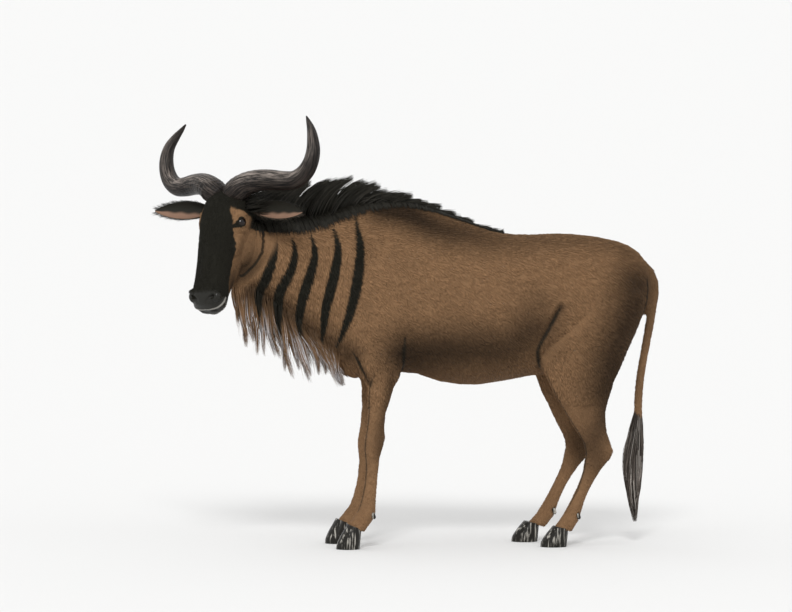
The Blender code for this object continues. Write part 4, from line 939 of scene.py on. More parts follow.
for side, word, points_to, opens_to in (
    (1, "left", (0.90, 0.10, 0.10), (0.15, 1.0, 0.10)),
    (-1, "right", (0.85, 0.44, 0.10), (-0.30, 1.0, 0.15)),
):
    to_world = np.array([side * LEFT, FACE_OUT, FACE_DOWN])
    along = np.array(points_to) @ to_world
    along /= np.linalg.norm(along)
    front = np.array(opens_to) @ to_world
    front -= along * (front @ along)
    front /= np.linalg.norm(front)
    across = np.cross(along, front)
    root = on_head(side * EAR_ROOT[0], EAR_ROOT[1], EAR_ROOT[2])
    spread = np.linspace(-1.0, 1.0, EAR_POINTS)
    rings, tints = [], []
    for share, width, curl, thick in smooth_rows(EAR_SHAPE, 46):
        angle = spread * math.radians(curl)
        radius = EAR_WIDTH * width / math.sin(math.radians(min(curl, 90)))
        thin = np.minimum(thick * (1 - 0.45 * spread**2), radius * 0.4)
        centre = root + along * share * EAR_LENGTH + front * (0.6 * radius - 0.010 * share**2)
        rows = []
        for r, a in ((np.full(EAR_POINTS, radius), angle), ((radius - thin)[::-1], angle[::-1])):
            rows.append(centre + (r * np.sin(a))[:, None] * across - (r * np.cos(a))[:, None] * front)
        rings.append(np.concatenate(rows))
        rim = ease(0.80, 1.0, np.abs(spread))
        upper = spread * np.sign(across @ UP)
        dark = np.maximum(rim, ease(-0.42 + 0.25 * share, -0.05 + 0.20 * share, upper + 0.05 * np.sin(29 * share)))
        back = np.maximum(np.maximum(rim, ease(0.75, 1.0, np.array(share))), 0.8 * ease(-0.2, 0.3, upper))[:, None]
        outside = 0.75 * BROWN + back * (BLACK - 0.75 * BROWN)
        inside = EAR_INSIDE + dark[::-1][:, None] * (BLACK - EAR_INSIDE)
        inside = inside * (1 - 0.55 * math.exp(-share / 0.15))
        tints.append(np.concatenate([outside, inside]))
        if 0.10 < share < 0.99:
            for edge, turn in ((0, -1), (EAR_POINTS - 1, 1)):
                ear_edges.append((rows[0][edge], along, turn * across, front, share, side))
    ear = loft("ear_" + word + "_shell", rings)
    give_tint(ear, np.concatenate(tints + [tints[0].mean(axis=0)[None], tints[-1].mean(axis=0)[None]]))
    ear.data.materials.append(ear_material)
    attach(ear, "root")
    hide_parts("ear_" + word)

# Hooves and dewclaws
# Black horn claws, two to a foot and flat below, with two small blunt dewclaws behind each fetlock.
# Each claw meets the leg along a slanting line at the coronet, and pale streaks run down it as a painted highlight.
FORE_AHEAD = [(0.0, 0.014), (0.15, 0.0), (0.40, -0.008), (1.2, -0.008)]
HIND_AHEAD = [(0.0, 0.078), (0.10, 0.060), (0.25, 0.052), (0.36, 0.042), (0.55, 0.020), (0.75, 0.0), (1.2, 0.0)]
SPUR = ((0.0, 0.004), (0.004, 0.0092), (0.012, 0.0112), (0.020, 0.0106), (0.027, 0.0078), (0.0305, 0.0030))
CLAW = [  # height, how far the toe and the heel stand back from the sole's, width
    (0.000, 0.000, 0.000, 0.0385),
    (0.014, 0.001, 0.002, 0.0400),
    (0.045, 0.013, 0.005, 0.0390),
    (0.080, 0.033, 0.008, 0.0355),
    (0.115, 0.052, 0.012, 0.0320),
]
hoof_material, nodes, links, shader = new_material("hoof_horn", 0.34, 0.22)
streak = nodes.new("ShaderNodeTexNoise")
streak.inputs["Scale"].default_value = 1.0
streak.inputs["Detail"].default_value = 5.0
# Painted highlight: pale streaks down the black claws
highlight_streaks = nodes.new("ShaderNodeValToRGB")
set_ramp(highlight_streaks, 0.55, (0.009, 0.008, 0.006), 0.69, (0.380, 0.360, 0.320))
links.new(streak.outputs["Fac"], highlight_streaks.inputs["Fac"])
links.new(highlight_streaks.outputs["Color"], shader.inputs["Base Color"])
fine = nodes.new("ShaderNodeMapping")
fine.inputs["Scale"].default_value = (110.0, 110.0, 12.0)
links.new(nodes.new("ShaderNodeTexCoord").outputs["Object"], fine.inputs["Vector"])
links.new(fine.outputs["Vector"], streak.inputs["Vector"])
bump = nodes.new("ShaderNodeBump")
bump.inputs["Distance"].default_value = 0.0010
links.new(streak.outputs["Fac"], bump.inputs["Height"])
links.new(bump.outputs["Normal"], shader.inputs["Normal"])
for end, side, fore in (
    ("fore_left", -1, True),
    ("fore_right", 1, True),
    ("hind_left", -1, False),
    ("hind_right", 1, False),
):
    heights, steps = np.array(FORE_AHEAD if fore else HIND_AHEAD).T
    apart = 0.130 if fore else 0.122
    toe, heel = (-0.3630, -0.2740) if fore else (0.4290, 0.5290)
    cut, slope = ((-0.3180, 0.0905), -0.353 / 0.936) if fore else ((0.4840, 0.0740), -0.212 / 0.977)
    start = (-0.2260, 0.1420) if fore else (0.5690, 0.1320)
    for inner, word in ((False, "outer"), (True, "inner")):
        ahead = -np.interp(0.0, heights, steps) if side > 0 else 0.0
        outwards = -1 if inner else 1
        angle = np.linspace(0.0, 2 * math.pi, 40, endpoint=False)
        rings = []
        for z, front, back, width in smooth_rows(CLAW, 34):
            front = front * (1.0 if fore else 1.45)
            middle = (toe + front + heel + back) / 2
            reach = (heel - toe + back - front) / 2
            x = middle - reach * np.cos(angle)
            swell = np.sin(angle)
            lean = np.clip((middle - x) / reach, 0.0, 1.0) ** 2
            y = np.where(swell > 0, swell * width * (1 - 0.25 * lean), swell * 0.002) + 0.003
            height = np.minimum(z, cut[1] + slope * (x - cut[0]) + 0.006)
            ripple = 1 + 0.004 * math.sin(z * 900)
            rings.append(np.stack([x + ahead, side * (apart + outwards * y * ripple), height], axis=1) + SHIFT)
        claw = loft(f"{end}_{word}_claw", rings)
        claw.data.materials.append(hoof_material)
        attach(claw, "root")
        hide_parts(f"{end}_claw_{word}")
        shift = -np.interp(0.13, heights, steps) if side > 0 else 0.0
        place = np.array((start[0] + shift, side * (apart + outwards * 0.0165), start[1])) + SHIFT
        run, deep = np.array((0.45, 0.0, -0.89)), np.array((0.89, 0.0, 0.45))
        turn = np.linspace(0.0, 2 * math.pi, 24, endpoint=False)
        rings = []
        for far, wide in SPUR:
            ring = place + run * (0.9 * far) + deep * (wide * 0.80 * np.cos(turn) - 0.0025)[:, None]
            ring[:, 1] += 0.88 * wide * np.sin(turn)
            rings.append(ring)
        spur = loft(f"{end}_{word}_spur", rings)
        spur.data.materials.append(hoof_material)
        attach(spur, "root")
        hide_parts(f"{end}_dewclaw_{word}")

# Short coat
# Short dull hair all over the hide, lying flat: back and down on the body, down the legs and the face.
# It grows from the skin in small flat tufts, and carries the same markings and painted shade.
rng = np.random.default_rng(7)
skin.data.calc_loop_triangles()
triangle = np.empty(len(skin.data.loop_triangles) * 3, np.int32)
skin.data.loop_triangles.foreach_get("vertices", triangle)
triangle = triangle.reshape(-1, 3)
spots, outward = places(skin), normals(skin)
corner = spots[triangle]
area = 0.5 * np.linalg.norm(np.cross(corner[:, 1] - corner[:, 0], corner[:, 2] - corner[:, 0]), axis=1)
middle = corner.mean(axis=1)
mid_plan = middle - SHIFT
mid_local = in_head(middle)
mid_ahead = (mid_plan - HEAD_CUT[0]) @ HEAD_CUT[1]
on_face = (mid_ahead > 0) & (mid_local[:, 1] > -0.22)
mid_bare = bare[triangle].mean(axis=1)
eye_hole = np.zeros(len(middle), bool)
for side in (-1, 1):
    reach, away, outer, _ = eye_gap(middle, side)
    eye_hole |= outer & (away < 0.045) & (reach < 1.12)
DENSITY_BODY = 24000.0
DENSITY_LEG = 39000.0
DENSITY_FACE = 65000.0
on_leg = mid_plan[:, 2] < 0.56
on_tail = (mid_plan[:, 0] > 0.79) & (np.abs(mid_plan[:, 1]) < 0.045) & (mid_plan[:, 2] < 1.09)
density = np.where(on_face, DENSITY_FACE, np.where(on_leg | on_tail, DENSITY_LEG, DENSITY_BODY))
density = density * (mid_bare < 0.5) * ~eye_hole
share = density * area
picked = rng.choice(len(area), size=int(share.sum()), p=share / share.sum())


def on_triangles(chosen):
    """A random place within each chosen triangle of the skin, with the skin's direction there."""
    w = rng.random((len(chosen), 2))
    w = np.where(w.sum(axis=1)[:, None] > 1, 1 - w, w)
    weights = np.stack([1 - w.sum(axis=1), w[:, 0], w[:, 1]], axis=1)[..., None]
    return (corner[chosen] * weights).sum(axis=1), (outward[triangle][chosen] * weights).sum(axis=1)


root, normal = on_triangles(picked)
normal /= np.linalg.norm(normal, axis=1)[:, None]


def coat_flow(points):
    """The way the hair lies at each point, before it is laid on the skin."""
    plan = points - SHIFT
    local = in_head(points)
    face = ease(-0.01, 0.03, (plan - HEAD_CUT[0]) @ HEAD_CUT[1]) * (local[:, 1] > -0.22)
    top = ease(1.08, 1.26, plan[:, 2])[:, None]
    way = (1 - top) * np.array((0.72, 0.0, -0.68)) + top * np.array((0.97, 0.0, -0.20))
    neck = (ease(-0.20, -0.40, plan[:, 0]) * ease(1.22, 1.12, plan[:, 2]))[:, None]
    way = (1 - neck) * way + neck * np.array((0.16, 0.0, -0.99))
    leg = ease(0.78, 0.60, plan[:, 2])[:, None]
    way = (1 - leg) * way + leg * np.array((0.10, 0.0, -1.0))
    tail = ((plan[:, 0] > 0.79) & (np.abs(plan[:, 1]) < 0.045))[:, None]
    way = np.where(tail, np.array((0.0, 0.0, -1.0)), way)
    front = ease(0.02, 0.05, local[:, 1])[:, None]
    on_head_way = front * FACE_DOWN + (1 - front) * (0.75 * FACE_DOWN - 0.65 * FACE_OUT)
    return way + face[:, None] * (on_head_way - way)


def laid(way, normal):
    way = way - normal * (way * normal).sum(axis=1)[:, None]
    return way / np.maximum(np.linalg.norm(way, axis=1), 1e-9)[:, None]


def skin_map(points):
    """An unwrap of the body's own shape: along it, and round its middle line."""
    plan = points - SHIFT
    x, y, z = plan.T
    turn = np.arctan2(y - neck_middle(x, -0.03), z - 0.93) / (2 * math.pi) + 0.5
    return np.stack([0.02 + 0.96 * (x + 1.0) / 1.95, 0.02 + 0.96 * turn], axis=1)


def leg_map(points):
    """The same for the legs: down each, and round its own middle line, one leg to each quarter."""
    plan = points - SHIFT
    x, y, z = plan.T
    hind = x > 0.2
    axis_x = np.where(hind, np.interp(z, (0.05, 0.37, 0.62), (0.50, 0.63, 0.58)), -0.215)
    turn = np.arctan2(np.abs(y) - 0.125, x - axis_x) / (2 * math.pi) + 0.5
    quarter = hind * 2 + (y > 0)
    return np.stack([(quarter + 0.04 + 0.92 * turn) / 4, 0.02 + 0.96 * np.clip(z / 0.80, 0, 1)], axis=1)


def head_map(points):
    """The same for the head: down the face, and round the middle of the skull."""
    local = in_head(points)
    turn = np.arctan2(local[:, 0], local[:, 1] + 0.03) / (2 * math.pi) + 0.5
    return np.stack([0.02 + 0.96 * turn, 0.02 + 0.96 * np.clip((local[:, 2] + 0.1) / 0.62, 0, 1)], axis=1)


def finish_hair(piece, colour, bake, material):
    """Tints a coat piece, and gives each tuft its own small patch of the skin's map."""
    give_tint(piece, colour)
    corners = np.empty(len(piece.data.loops), np.int32)
    piece.data.loops.foreach_get("vertex_index", corners)
    layer = piece.data.uv_layers.new(name="OFBake")
    layer.data.foreach_set("uv", bake[corners].astype(np.float32).ravel())
    piece.data.materials.append(material)
    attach(piece, "root")


PATCH = 0.003
TUFT_CORNERS = np.array(((0.0, 0.0), (1.0, 0.0), (0.5, 0.1), (0.1, 0.5), (0.9, 0.5), (0.5, 0.6), (0.5, 1.0)))
TUFT_FACES = np.array(
    ((0, 1, 4), (0, 4, 3), (1, 2, 5), (1, 5, 4), (2, 0, 3), (2, 3, 5), (3, 4, 6), (4, 5, 6), (5, 3, 6), (0, 2, 1))
)


def tuft_piece(name, root, way, normal, length, width, lift, lightness, unwrap, material):
    """Flat tufts of seven points each: a broad root, a raised middle and a pointed tip."""
    side = np.cross(normal, way)
    length, width, lift = (v[:, None] for v in (length, width, lift))
    bed = root - 0.0010 * normal
    knee = root + 0.52 * length * way + lift * normal
    tip = root + length * way + 0.55 * lift * normal
    points = np.stack(
        [
            bed - 0.5 * width * side,
            bed + 0.5 * width * side,
            bed + 0.45 * width * normal,
            knee - 0.42 * width * side,
            knee + 0.42 * width * side,
            knee + 0.30 * width * normal,
            tip,
        ],
        axis=1,
    )
    count = len(root)
    faces = (TUFT_FACES[None] + 7 * np.arange(count)[:, None, None]).reshape(-1, 3)
    piece = mesh_object(name, points.reshape(-1, 3), faces)
    at_root, at_knee, at_tip = (coat_colour(p, lightness) for p in (root, knee, tip))
    shaded = np.stack([at_root, at_root, at_root, at_knee, at_knee, at_knee, at_tip], axis=1)
    # Painted shade: each tuft darker at its root, lighter at its tip
    shaded *= np.array((0.88, 0.88, 0.91, 0.97, 0.97, 1.00, 1.03))[None, :, None]
    bake = unwrap(root)[:, None] + PATCH * (TUFT_CORNERS - 0.5)[None]
    finish_hair(piece, shaded.reshape(-1, 3), bake.reshape(-1, 2), material)
    return piece


coat_material, nodes, links, shader = new_material("short_hair", 0.65, 0.16)
mottled(nodes, links, shader, 0.22, 0.0)
way = coat_flow(root)
way = laid(way, normal)
sway = np.cross(normal, way)
way = way + sway * rng.normal(0, 0.16, len(root))[:, None]
way /= np.linalg.norm(way, axis=1)[:, None]
plan = root - SHIFT
local = in_head(root)
is_face = on_face[picked]
is_leg = (on_leg | on_tail)[picked] & ~is_face
vary = rng.uniform(0.75, 1.25, len(root))
low_leg = ease(0.45, 0.10, plan[:, 2])
length = np.where(is_face, 0.0085, np.where(is_leg, 0.013 - 0.004 * low_leg, 0.024)) * vary
on_neck = ease(-0.25, -0.42, plan[:, 0]) * ~is_face * ~is_leg
length *= 1 + 0.35 * on_neck
for path in (ELBOW_FOLD, FLANK_FOLD, TAIL_FOLD):
    for side in (-1, 1):
        away, _ = near_line(root, side_line(side, path))
        length *= 1 - 0.55 * np.exp(-((away / 0.022) ** 2))
width = np.where(is_face, 0.0013, np.where(is_leg, 0.0018, 0.0030)) * rng.uniform(0.8, 1.2, len(root))
lift = np.where(is_face, 0.0011, np.where(is_leg, 0.0013, 0.0020)) * rng.uniform(0.6, 1.3, len(root))
lightness = np.clip(rng.normal(1.0, 0.06, len(root)), 0.8, 1.2)
left_side = plan[:, 1] < neck_middle(plan[:, 0], -0.03)
groups = {
    "coat_face_left": (is_face & (local[:, 0] >= 0), head_map),
    "coat_face_right": (is_face & (local[:, 0] < 0), head_map),
    "coat_legs_fore": (is_leg & (plan[:, 0] < 0.2), leg_map),
    "coat_legs_hind": (is_leg & (plan[:, 0] >= 0.2), leg_map),
}
rest = ~is_face & ~is_leg
for word, half in (("left", left_side), ("right", ~left_side)):
    groups[f"coat_front_{word}"] = (rest & half & (plan[:, 0] < -0.10), skin_map)
    groups[f"coat_middle_{word}"] = (rest & half & (plan[:, 0] >= -0.10) & (plan[:, 0] < 0.42), skin_map)
    groups[f"coat_rear_{word}"] = (rest & half & (plan[:, 0] >= 0.42), skin_map)
for name, (mask, unwrap) in groups.items():
    values = (root, way, normal, length, width, lift, lightness)
    tufts = tuft_piece(name, *(v[mask] for v in values), unwrap, coat_material)

# Mane
# Long coarse black hair from between the ears to the middle of the back. Along the crest it stands
# and sweeps back in pointed bunches, and beside it falls over the neck; rooted in the skin.
MANE = [  # x, height of the tips
    (-0.738, 1.366),
    (-0.700, 1.382),
    (-0.660, 1.392),
    (-0.600, 1.394),
    (-0.540, 1.394),
    (-0.480, 1.396),
    (-0.420, 1.404),
    (-0.360, 1.415),
    (-0.290, 1.422),
    (-0.220, 1.408),
    (-0.140, 1.378),
    (-0.060, 1.356),
    (0.040, 1.318),
    (0.140, 1.272),
    (0.240, 1.232),
    (0.325, 1.203),
]


def crest_height(x):
    """The skin's own height and sideways place along the crest, from straight above."""
    found = []
    for value in x:
        shift = neck_middle(value)
        hit = skin_tree.ray_cast(Vector((value + SHIFT[0], shift + SHIFT[1], 1.60)), Vector((0, 0, -1)))
        found.append((shift + SHIFT[1], hit[0].z if hit[0] else 1.2))
    return np.array(found)


STRAND_RINGS = 6


def bent(path, rings):
    """Points along each bent path, which holds a start, two bends and an end."""
    t = np.linspace(0.0, 1.0, rings)[None, :, None]
    p0, p1, p2, p3 = (path[:, k][:, None] for k in range(4))
    return (1 - t) ** 3 * p0 + 3 * t * (1 - t) ** 2 * p1 + 3 * t**2 * (1 - t) * p2 + t**3 * p3


def strands(name, path, width, flat_to, colour, bake, material, wave=0.0):
    """Long thin locks along bent paths, with as many rings as there are colours for each."""
    rings = colour.shape[1]
    centre = bent(path, rings) + wave
    run = np.gradient(centre, axis=1)
    run /= np.maximum(np.linalg.norm(run, axis=2), 1e-9)[..., None]
    side = np.cross(run, flat_to[:, None])
    side /= np.maximum(np.linalg.norm(side, axis=2), 1e-9)[..., None]
    up = np.cross(side, run)
    taper = np.interp(np.linspace(0, 1, rings), (0, 0.25, 0.6, 1.0), (0.75, 1.0, 0.75, 0.06))
    size = (width[:, None] * taper[None])[..., None]
    ring = np.stack([-0.5 * side * size, 0.5 * side * size, 0.45 * up * size], axis=2)
    points = centre[:, :, None] + ring
    count = len(path)
    i, j = np.meshgrid(np.arange(rings - 1), np.arange(3), indexing="ij")
    k = (j + 1) % 3
    a, b, c, d = i * 3 + j, i * 3 + k, (i + 1) * 3 + k, (i + 1) * 3 + j
    one = np.concatenate([np.stack([a, b, c], -1).reshape(-1, 3), np.stack([a, c, d], -1).reshape(-1, 3)])
    last = (rings - 1) * 3
    one = np.concatenate([one, [(0, 2, 1), (last, last + 1, last + 2)]])
    faces = (one[None] + 3 * rings * np.arange(count)[:, None, None]).reshape(-1, 3)
    piece = mesh_object(name, points.reshape(-1, 3), faces)
    spread = np.stack(np.broadcast_arrays(np.array((0.0, 1.0, 0.5)), np.linspace(0, 1, rings)[:, None]), axis=-1)
    patch = bake[:, None, None] + PATCH * (spread[None] - 0.5)
    finish_hair(piece, np.repeat(colour, 3, axis=1).reshape(-1, 3), patch.reshape(-1, 2), material)
    return piece


def bunched(values, centres, pull):
    """Draws values towards the nearest of some sorted centres, as wet or coarse hair bunches."""
    nearest = centres[np.abs(values[:, None] - centres[None]).argmin(axis=1)]
    return values + pull * (nearest - values)


MANE_BUNCHES = 40
MANE_BLACK = np.array((0.0090, 0.0080, 0.0050))
MANE_GLEAM = np.array((0.045, 0.040, 0.031))
rng = np.random.default_rng(19)
hair_material, nodes, links, shader = new_material("long_hair", 0.55, 0.22)
mottled(nodes, links, shader, 0.30, 0.0)
mane_x, mane_tip = np.array(MANE).T
table_x = np.linspace(-0.745, 0.345, 110)
crest = crest_height(table_x)
count = 3300
x = rng.uniform(-0.735, 0.300, count)
y_step = rng.normal(0, 0.013, count) * np.interp(x, (0.0, 0.30), (1.0, 0.4))
crest_y, crest_z = np.interp(x, table_x, crest[:, 0]), np.interp(x, table_x, crest[:, 1])
lift = np.interp(x, mane_x, mane_tip) - crest_z
run = 0.075 + 0.35 * np.clip(lift, 0, None) + rng.normal(0, 0.008, count)
bunches = np.sort(rng.uniform(-0.70, 0.33, MANE_BUNCHES))
which = np.abs((x + run)[:, None] - bunches[None]).argmin(axis=1)
tip_x = bunched(x + run, bunches, 0.72)
tip_x = np.where(tip_x > 0.26, 0.26 + 0.55 * (tip_x - 0.26), tip_x)
tip_z = np.interp(tip_x, mane_x, mane_tip) + rng.normal(-0.004, 0.006, count) - 0.35 * np.abs(y_step)
tip_z += rng.normal(0, 0.007, MANE_BUNCHES)[which] * np.interp(tip_x, (-0.5, 0.3), (1.0, 0.2))
tip_y = np.interp(tip_x, table_x, crest[:, 0]) + 0.75 * y_step + rng.normal(0, 0.004, count)
start = np.stack([x + SHIFT[0], crest_y + y_step, crest_z - 0.004 - 1.2 * y_step**2 / 0.05], axis=1)
end = np.stack([tip_x + SHIFT[0], tip_y, tip_z], axis=1)
rise = (end - start)[:, 2:]
bend1 = start + np.concatenate([0.12 * (end - start)[:, :1], 0.3 * (end - start)[:, 1:2], 0.45 * rise], axis=1)
bend2 = start + np.concatenate([0.50 * (end - start)[:, :1], 0.6 * (end - start)[:, 1:2], 0.86 * rise], axis=1)
path = np.stack([start, bend1, bend2, end], axis=1)
width = rng.uniform(0.0022, 0.0042, count)


def black_hair(middle, spread):
    """Black with a brown gleam on some of the strands, and painted shade that darkens them at their roots."""
    gleam = np.clip(rng.normal(middle, spread, count), 0, 1)[:, None, None]
    shade = np.linspace(0.7, 1.25, STRAND_RINGS)[None, :, None]
    return (MANE_BLACK + gleam * (MANE_GLEAM - MANE_BLACK)) * shade


colour = black_hair(0.15, 0.22)
mane = strands(
    "mane_crest", path, width, np.tile((0.0, 1.0, 0.0), (count, 1)), colour, skin_map(start), hair_material
)
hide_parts("mane")

# Beside the crest the strands start part of the way down and follow the skin to the mane's lower edge
count = 2500
x = rng.uniform(-0.730, 0.280, count)
side = np.where(rng.random(count) < 0.5, -1.0, 1.0)
crest_y, crest_z = np.interp(x, table_x, crest[:, 0]), np.interp(x, table_x, crest[:, 1])
fall = np.interp(x, (-0.70, -0.50, -0.30, -0.15, 0.05, 0.20, 0.30), (0.112, 0.108, 0.090, 0.066, 0.046, 0.028, 0.008))
first = rng.uniform(0.02, 0.55, count)
spot = np.stack([x + SHIFT[0], crest_y, crest_z], axis=1)
path = np.empty((count, 4, 3))
step = np.stack([np.full(count, 0.30), side, np.zeros(count)], axis=1)
travel = np.stack([first, *((1 - first) * rng.uniform(0.75, 1.15, count) / 3,) * 3], axis=1) * fall[:, None]
for k in range(4):
    for n in range(count):
        found, facing, _, _ = skin_tree.find_nearest(Vector(spot[n] + travel[n, k] * step[n]))
        facing = np.array(facing)
        spot[n] = found
        way_down = step[n] - facing * (step[n] @ facing) + np.array((0.0, 0.0, -0.3 if k else 0.0))
        step[n] = way_down / np.linalg.norm(way_down)
        path[n, k] = spot[n] + (-0.001, 0.008, 0.010, 0.004)[k] * facing
flat = np.stack([np.zeros(count), side, np.full(count, 0.4)], axis=1)
width = rng.uniform(0.0024, 0.0042, count)
colour = black_hair(0.04, 0.16)
strands("mane_fall", path, width, flat, colour, skin_map(path[:, 0]), hair_material)

# Crown hair
# Coarse black hair between the horns and the ears, rooted in the skin of the crown.
# It runs back into the mane and hides the ears' roots.
rng = np.random.default_rng(23)
crown = (np.abs(mid_local[:, 0]) < 0.125) & (mid_local[:, 1] < 0.010) & (mid_local[:, 1] > -0.17)
crown &= (mid_local[:, 2] < 0.070) & (mid_local[:, 2] > -0.14) & (mid_plan[:, 2] > 1.20)
share = area * crown
count = 1700
chosen = rng.choice(len(area), size=count, p=share / share.sum())
start = middle[chosen] + rng.normal(0, 0.002, (count, 3))
way_out = outward[triangle][chosen].mean(axis=1)
aim = 0.75 * way_out + np.array((0.75, 0.0, 0.10)) + rng.normal(0, 0.12, (count, 3))
aim /= np.linalg.norm(aim, axis=1)[:, None]
reach = rng.uniform(0.035, 0.085, count)[:, None]
end = start + reach * aim
bend1 = start + 0.33 * reach * (0.6 * way_out + 0.4 * aim)
bend2 = start + 0.68 * reach * (0.3 * way_out + 0.7 * aim)
path = np.stack([start - 0.004 * way_out, bend1, bend2, end], axis=1)
width = rng.uniform(0.0020, 0.0036, count)
colour = black_hair(0.10, 0.20)
strands("crown_hair", path, width, way_out, colour, head_map(start), hair_material)

# Beard
# A fringe of long thin hair hanging from the throat and the underside of the neck to the chest,
# brown at the roots with pale grey and white strands among it.
BEARD_TIPS = [  # x, height of the longest tips
    (-0.745, 0.860),
    (-0.715, 0.732),
    (-0.680, 0.726),
    (-0.632, 0.706),
    (-0.594, 0.656),
    (-0.543, 0.646),
    (-0.478, 0.598),
    (-0.427, 0.594),
    (-0.400, 0.590),
    (-0.350, 0.604),
    (-0.322, 0.612),
]
BEARD_BROWN = np.array((0.215, 0.130, 0.072))
BEARD_DARK = np.array((0.036, 0.027, 0.022))
BEARD_PALE = np.array((0.700, 0.685, 0.700))
BEARD_RINGS = 9
BEARD_TOP = [(-0.760, 1.020), (-0.700, 1.030), (-0.600, 0.965), (-0.500, 0.895), (-0.420, 0.828), (-0.340, 0.752)]
rng = np.random.default_rng(31)
neck_x, neck_z = mid_plan[:, 0], mid_plan[:, 2]
under = (neck_x > -0.765) & (neck_x < -0.345) & (neck_z < np.interp(neck_x, *np.array(BEARD_TOP).T))
under &= (neck_z > 0.60) & ~(on_face & (mid_local[:, 1] > -0.11))
count = 2750
LOCKS = 16
share = area * under
start, way_out = on_triangles(rng.choice(len(area), size=count, p=share / share.sum()))
x, z = start[:, 0] - SHIFT[0], start[:, 2]
axis_y = neck_middle(x) + SHIFT[1]
y_step = start[:, 1] - axis_y
share = np.clip((x + 0.738) / 0.384, 0.0, 1.0)
run = 0.014 + 0.070 * np.minimum(1.0, 1.6 * share)
tip_at, tip_low = np.array(BEARD_TIPS).T
lock_x = np.linspace(-0.730, -0.332, LOCKS) + rng.uniform(-0.006, 0.006, LOCKS)
lock_short = rng.uniform(0.0, 0.085, LOCKS)
lock_y = rng.normal(0, 0.018, LOCKS)
lock_wave = rng.uniform(-1, 1, (LOCKS, 2))
stray = rng.normal(0, 0.004, count)
which = np.abs((x + run + rng.normal(0, 0.006, count))[:, None] - lock_x[None]).argmin(axis=1)
rim = np.abs(x + run - lock_x[which]) / 0.0125
loose = (rng.random(count) < 0.15) * rng.normal(0, 0.010, count)
tip_x = np.clip(lock_x[which] + 0.07 * (x + run - lock_x[which]) + 0.5 * stray + loose, -0.738, -0.322)
tip_z = np.interp(tip_x, tip_at, tip_low) + lock_short[which] + np.abs(rng.normal(0, 0.026, count))
tip_z = np.minimum(tip_z, z - 0.06)
tip_y = axis_y + 0.30 * y_step + lock_y[which] + rng.normal(0, 0.003, count)
start = start - 0.004 * way_out
end = np.stack([tip_x + SHIFT[0], tip_y, tip_z], axis=1)
move = end - start
bend1 = start + move * (0.02, 0.05, 0.30) + 0.016 * way_out * (1.0, 1.0, 0.2)
bend1 += rng.normal(0, 0.004, (count, 3)) + 0.010 * lock_wave[which, :1] * (1.0, 0.0, 0.0)
bend2 = start + move * (0.86, 0.80, 0.62) + rng.normal(0, 0.003, (count, 3))
bend2[:, 0] -= 0.012 * lock_wave[which, 0] + 0.010 * lock_wave[which, 1]
path = np.stack([start, bend1, bend2, end], axis=1)
rise = np.linspace(0.0, 1.0, BEARD_RINGS)[None, :, None]
phase = (math.tau * rng.random(LOCKS))[which] + rng.normal(0, 0.35, count)
waves = np.linalg.norm(move, axis=1) / 0.20
wave = 0.0085 * rise * np.sin(math.tau * waves[:, None, None] * rise + phase[:, None, None]) * (1.0, 0.5, 0.0)
width = rng.uniform(0.0024, 0.0042, count)
kind = rng.random(count)
lock_pale = rng.random(LOCKS)[which] < 0.40
is_pale = (kind < 0.55) & (lock_pale | (rim > 0.72)) | (kind < 0.14)
width = np.where(is_pale, 0.75, 1.0) * width
is_dark = kind > 0.90
tone = np.where(is_pale[:, None], BEARD_PALE, np.where(is_dark[:, None], BEARD_DARK, BEARD_BROWN))
centre = bent(path, BEARD_RINGS) + wave
flesh_tone = coat_colour(centre.reshape(-1, 3), np.ones(count * BEARD_RINGS)).reshape(count, BEARD_RINGS, 3)
blend = ease(0.30, 0.75, rise + rng.normal(0, 0.10, count)[:, None, None])
stripe_dark = (flesh_tone[..., :1] < 0.3 * BROWN[0]) & (centre[..., 2:] > 0.80)
blend = np.where(stripe_dark, 0.2 * blend, blend)
colour = flesh_tone + blend * (tone[:, None] - flesh_tone)
colour = colour * rng.uniform(0.85, 1.15, count)[:, None, None]
flat = way_out + rng.normal(0, 0.35, (count, 3))
beard = strands("beard_fringe", path, width, flat, colour, skin_map(start), hair_material, wave)
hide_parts("beard")

# Tail tuft
# Long grey-brown hair with darker and paler strands, hanging to a point from the last third of the tail.
# The strands are rooted in the tail's end and swell to the middle of the tuft.
TUFT = [  # x, z, radius
    (0.828, 0.510, 0.0190),
    (0.824, 0.460, 0.0230),
    (0.815, 0.400, 0.0300),
    (0.804, 0.330, 0.0370),
    (0.800, 0.270, 0.0390),
    (0.803, 0.210, 0.0330),
    (0.809, 0.150, 0.0220),
    (0.815, 0.100, 0.0100),
    (0.816, 0.081, 0.0030),
]
TUFT_MID = np.array((0.092, 0.076, 0.064))
TUFT_DARK = np.array((0.022, 0.017, 0.013))
TUFT_PALE = np.array((0.330, 0.300, 0.270))
rng = np.random.default_rng(43)
count = 1500
turn = rng.uniform(0, 2 * math.pi, count)
deep = np.sqrt(rng.random(count))
tail_x, tail_z, tail_r = np.array(TUFT)[::-1].T
high = rng.uniform(0.44, 0.52, count)
low = 0.083 + 0.20 * rng.random(count) ** 1.8
swing = np.stack([np.cos(turn), np.sin(turn), np.zeros(count)], axis=1)
bends = []
for t, reach in ((0.0, 0.62), (0.38, 1.34), (0.74, 1.26), (1.0, 0.60)):
    z = high + t * (low - high)
    spread = np.interp(z, tail_z, tail_r) * reach * (deep if t else 1.0)
    at = np.stack([np.interp(z, tail_z, tail_x) + SHIFT[0], np.full(count, SHIFT[1]), z], axis=1)
    bends.append(at + spread[:, None] * swing)
path = np.stack(bends, axis=1)
kind = rng.random(count)[:, None]
tone = np.where(kind < 0.42, TUFT_DARK, np.where(kind < 0.86, TUFT_MID, TUFT_PALE))
tone = tone * rng.uniform(0.7, 1.35, count)[:, None]
# Painted shade: each strand darker at its root, lighter towards its tip
colour = tone[:, None] * np.linspace(0.75, 1.2, STRAND_RINGS)[None, :, None]
along = np.stack([turn / (2 * math.pi) * 0.9 + 0.05, np.clip(high, 0, 1)], axis=1)
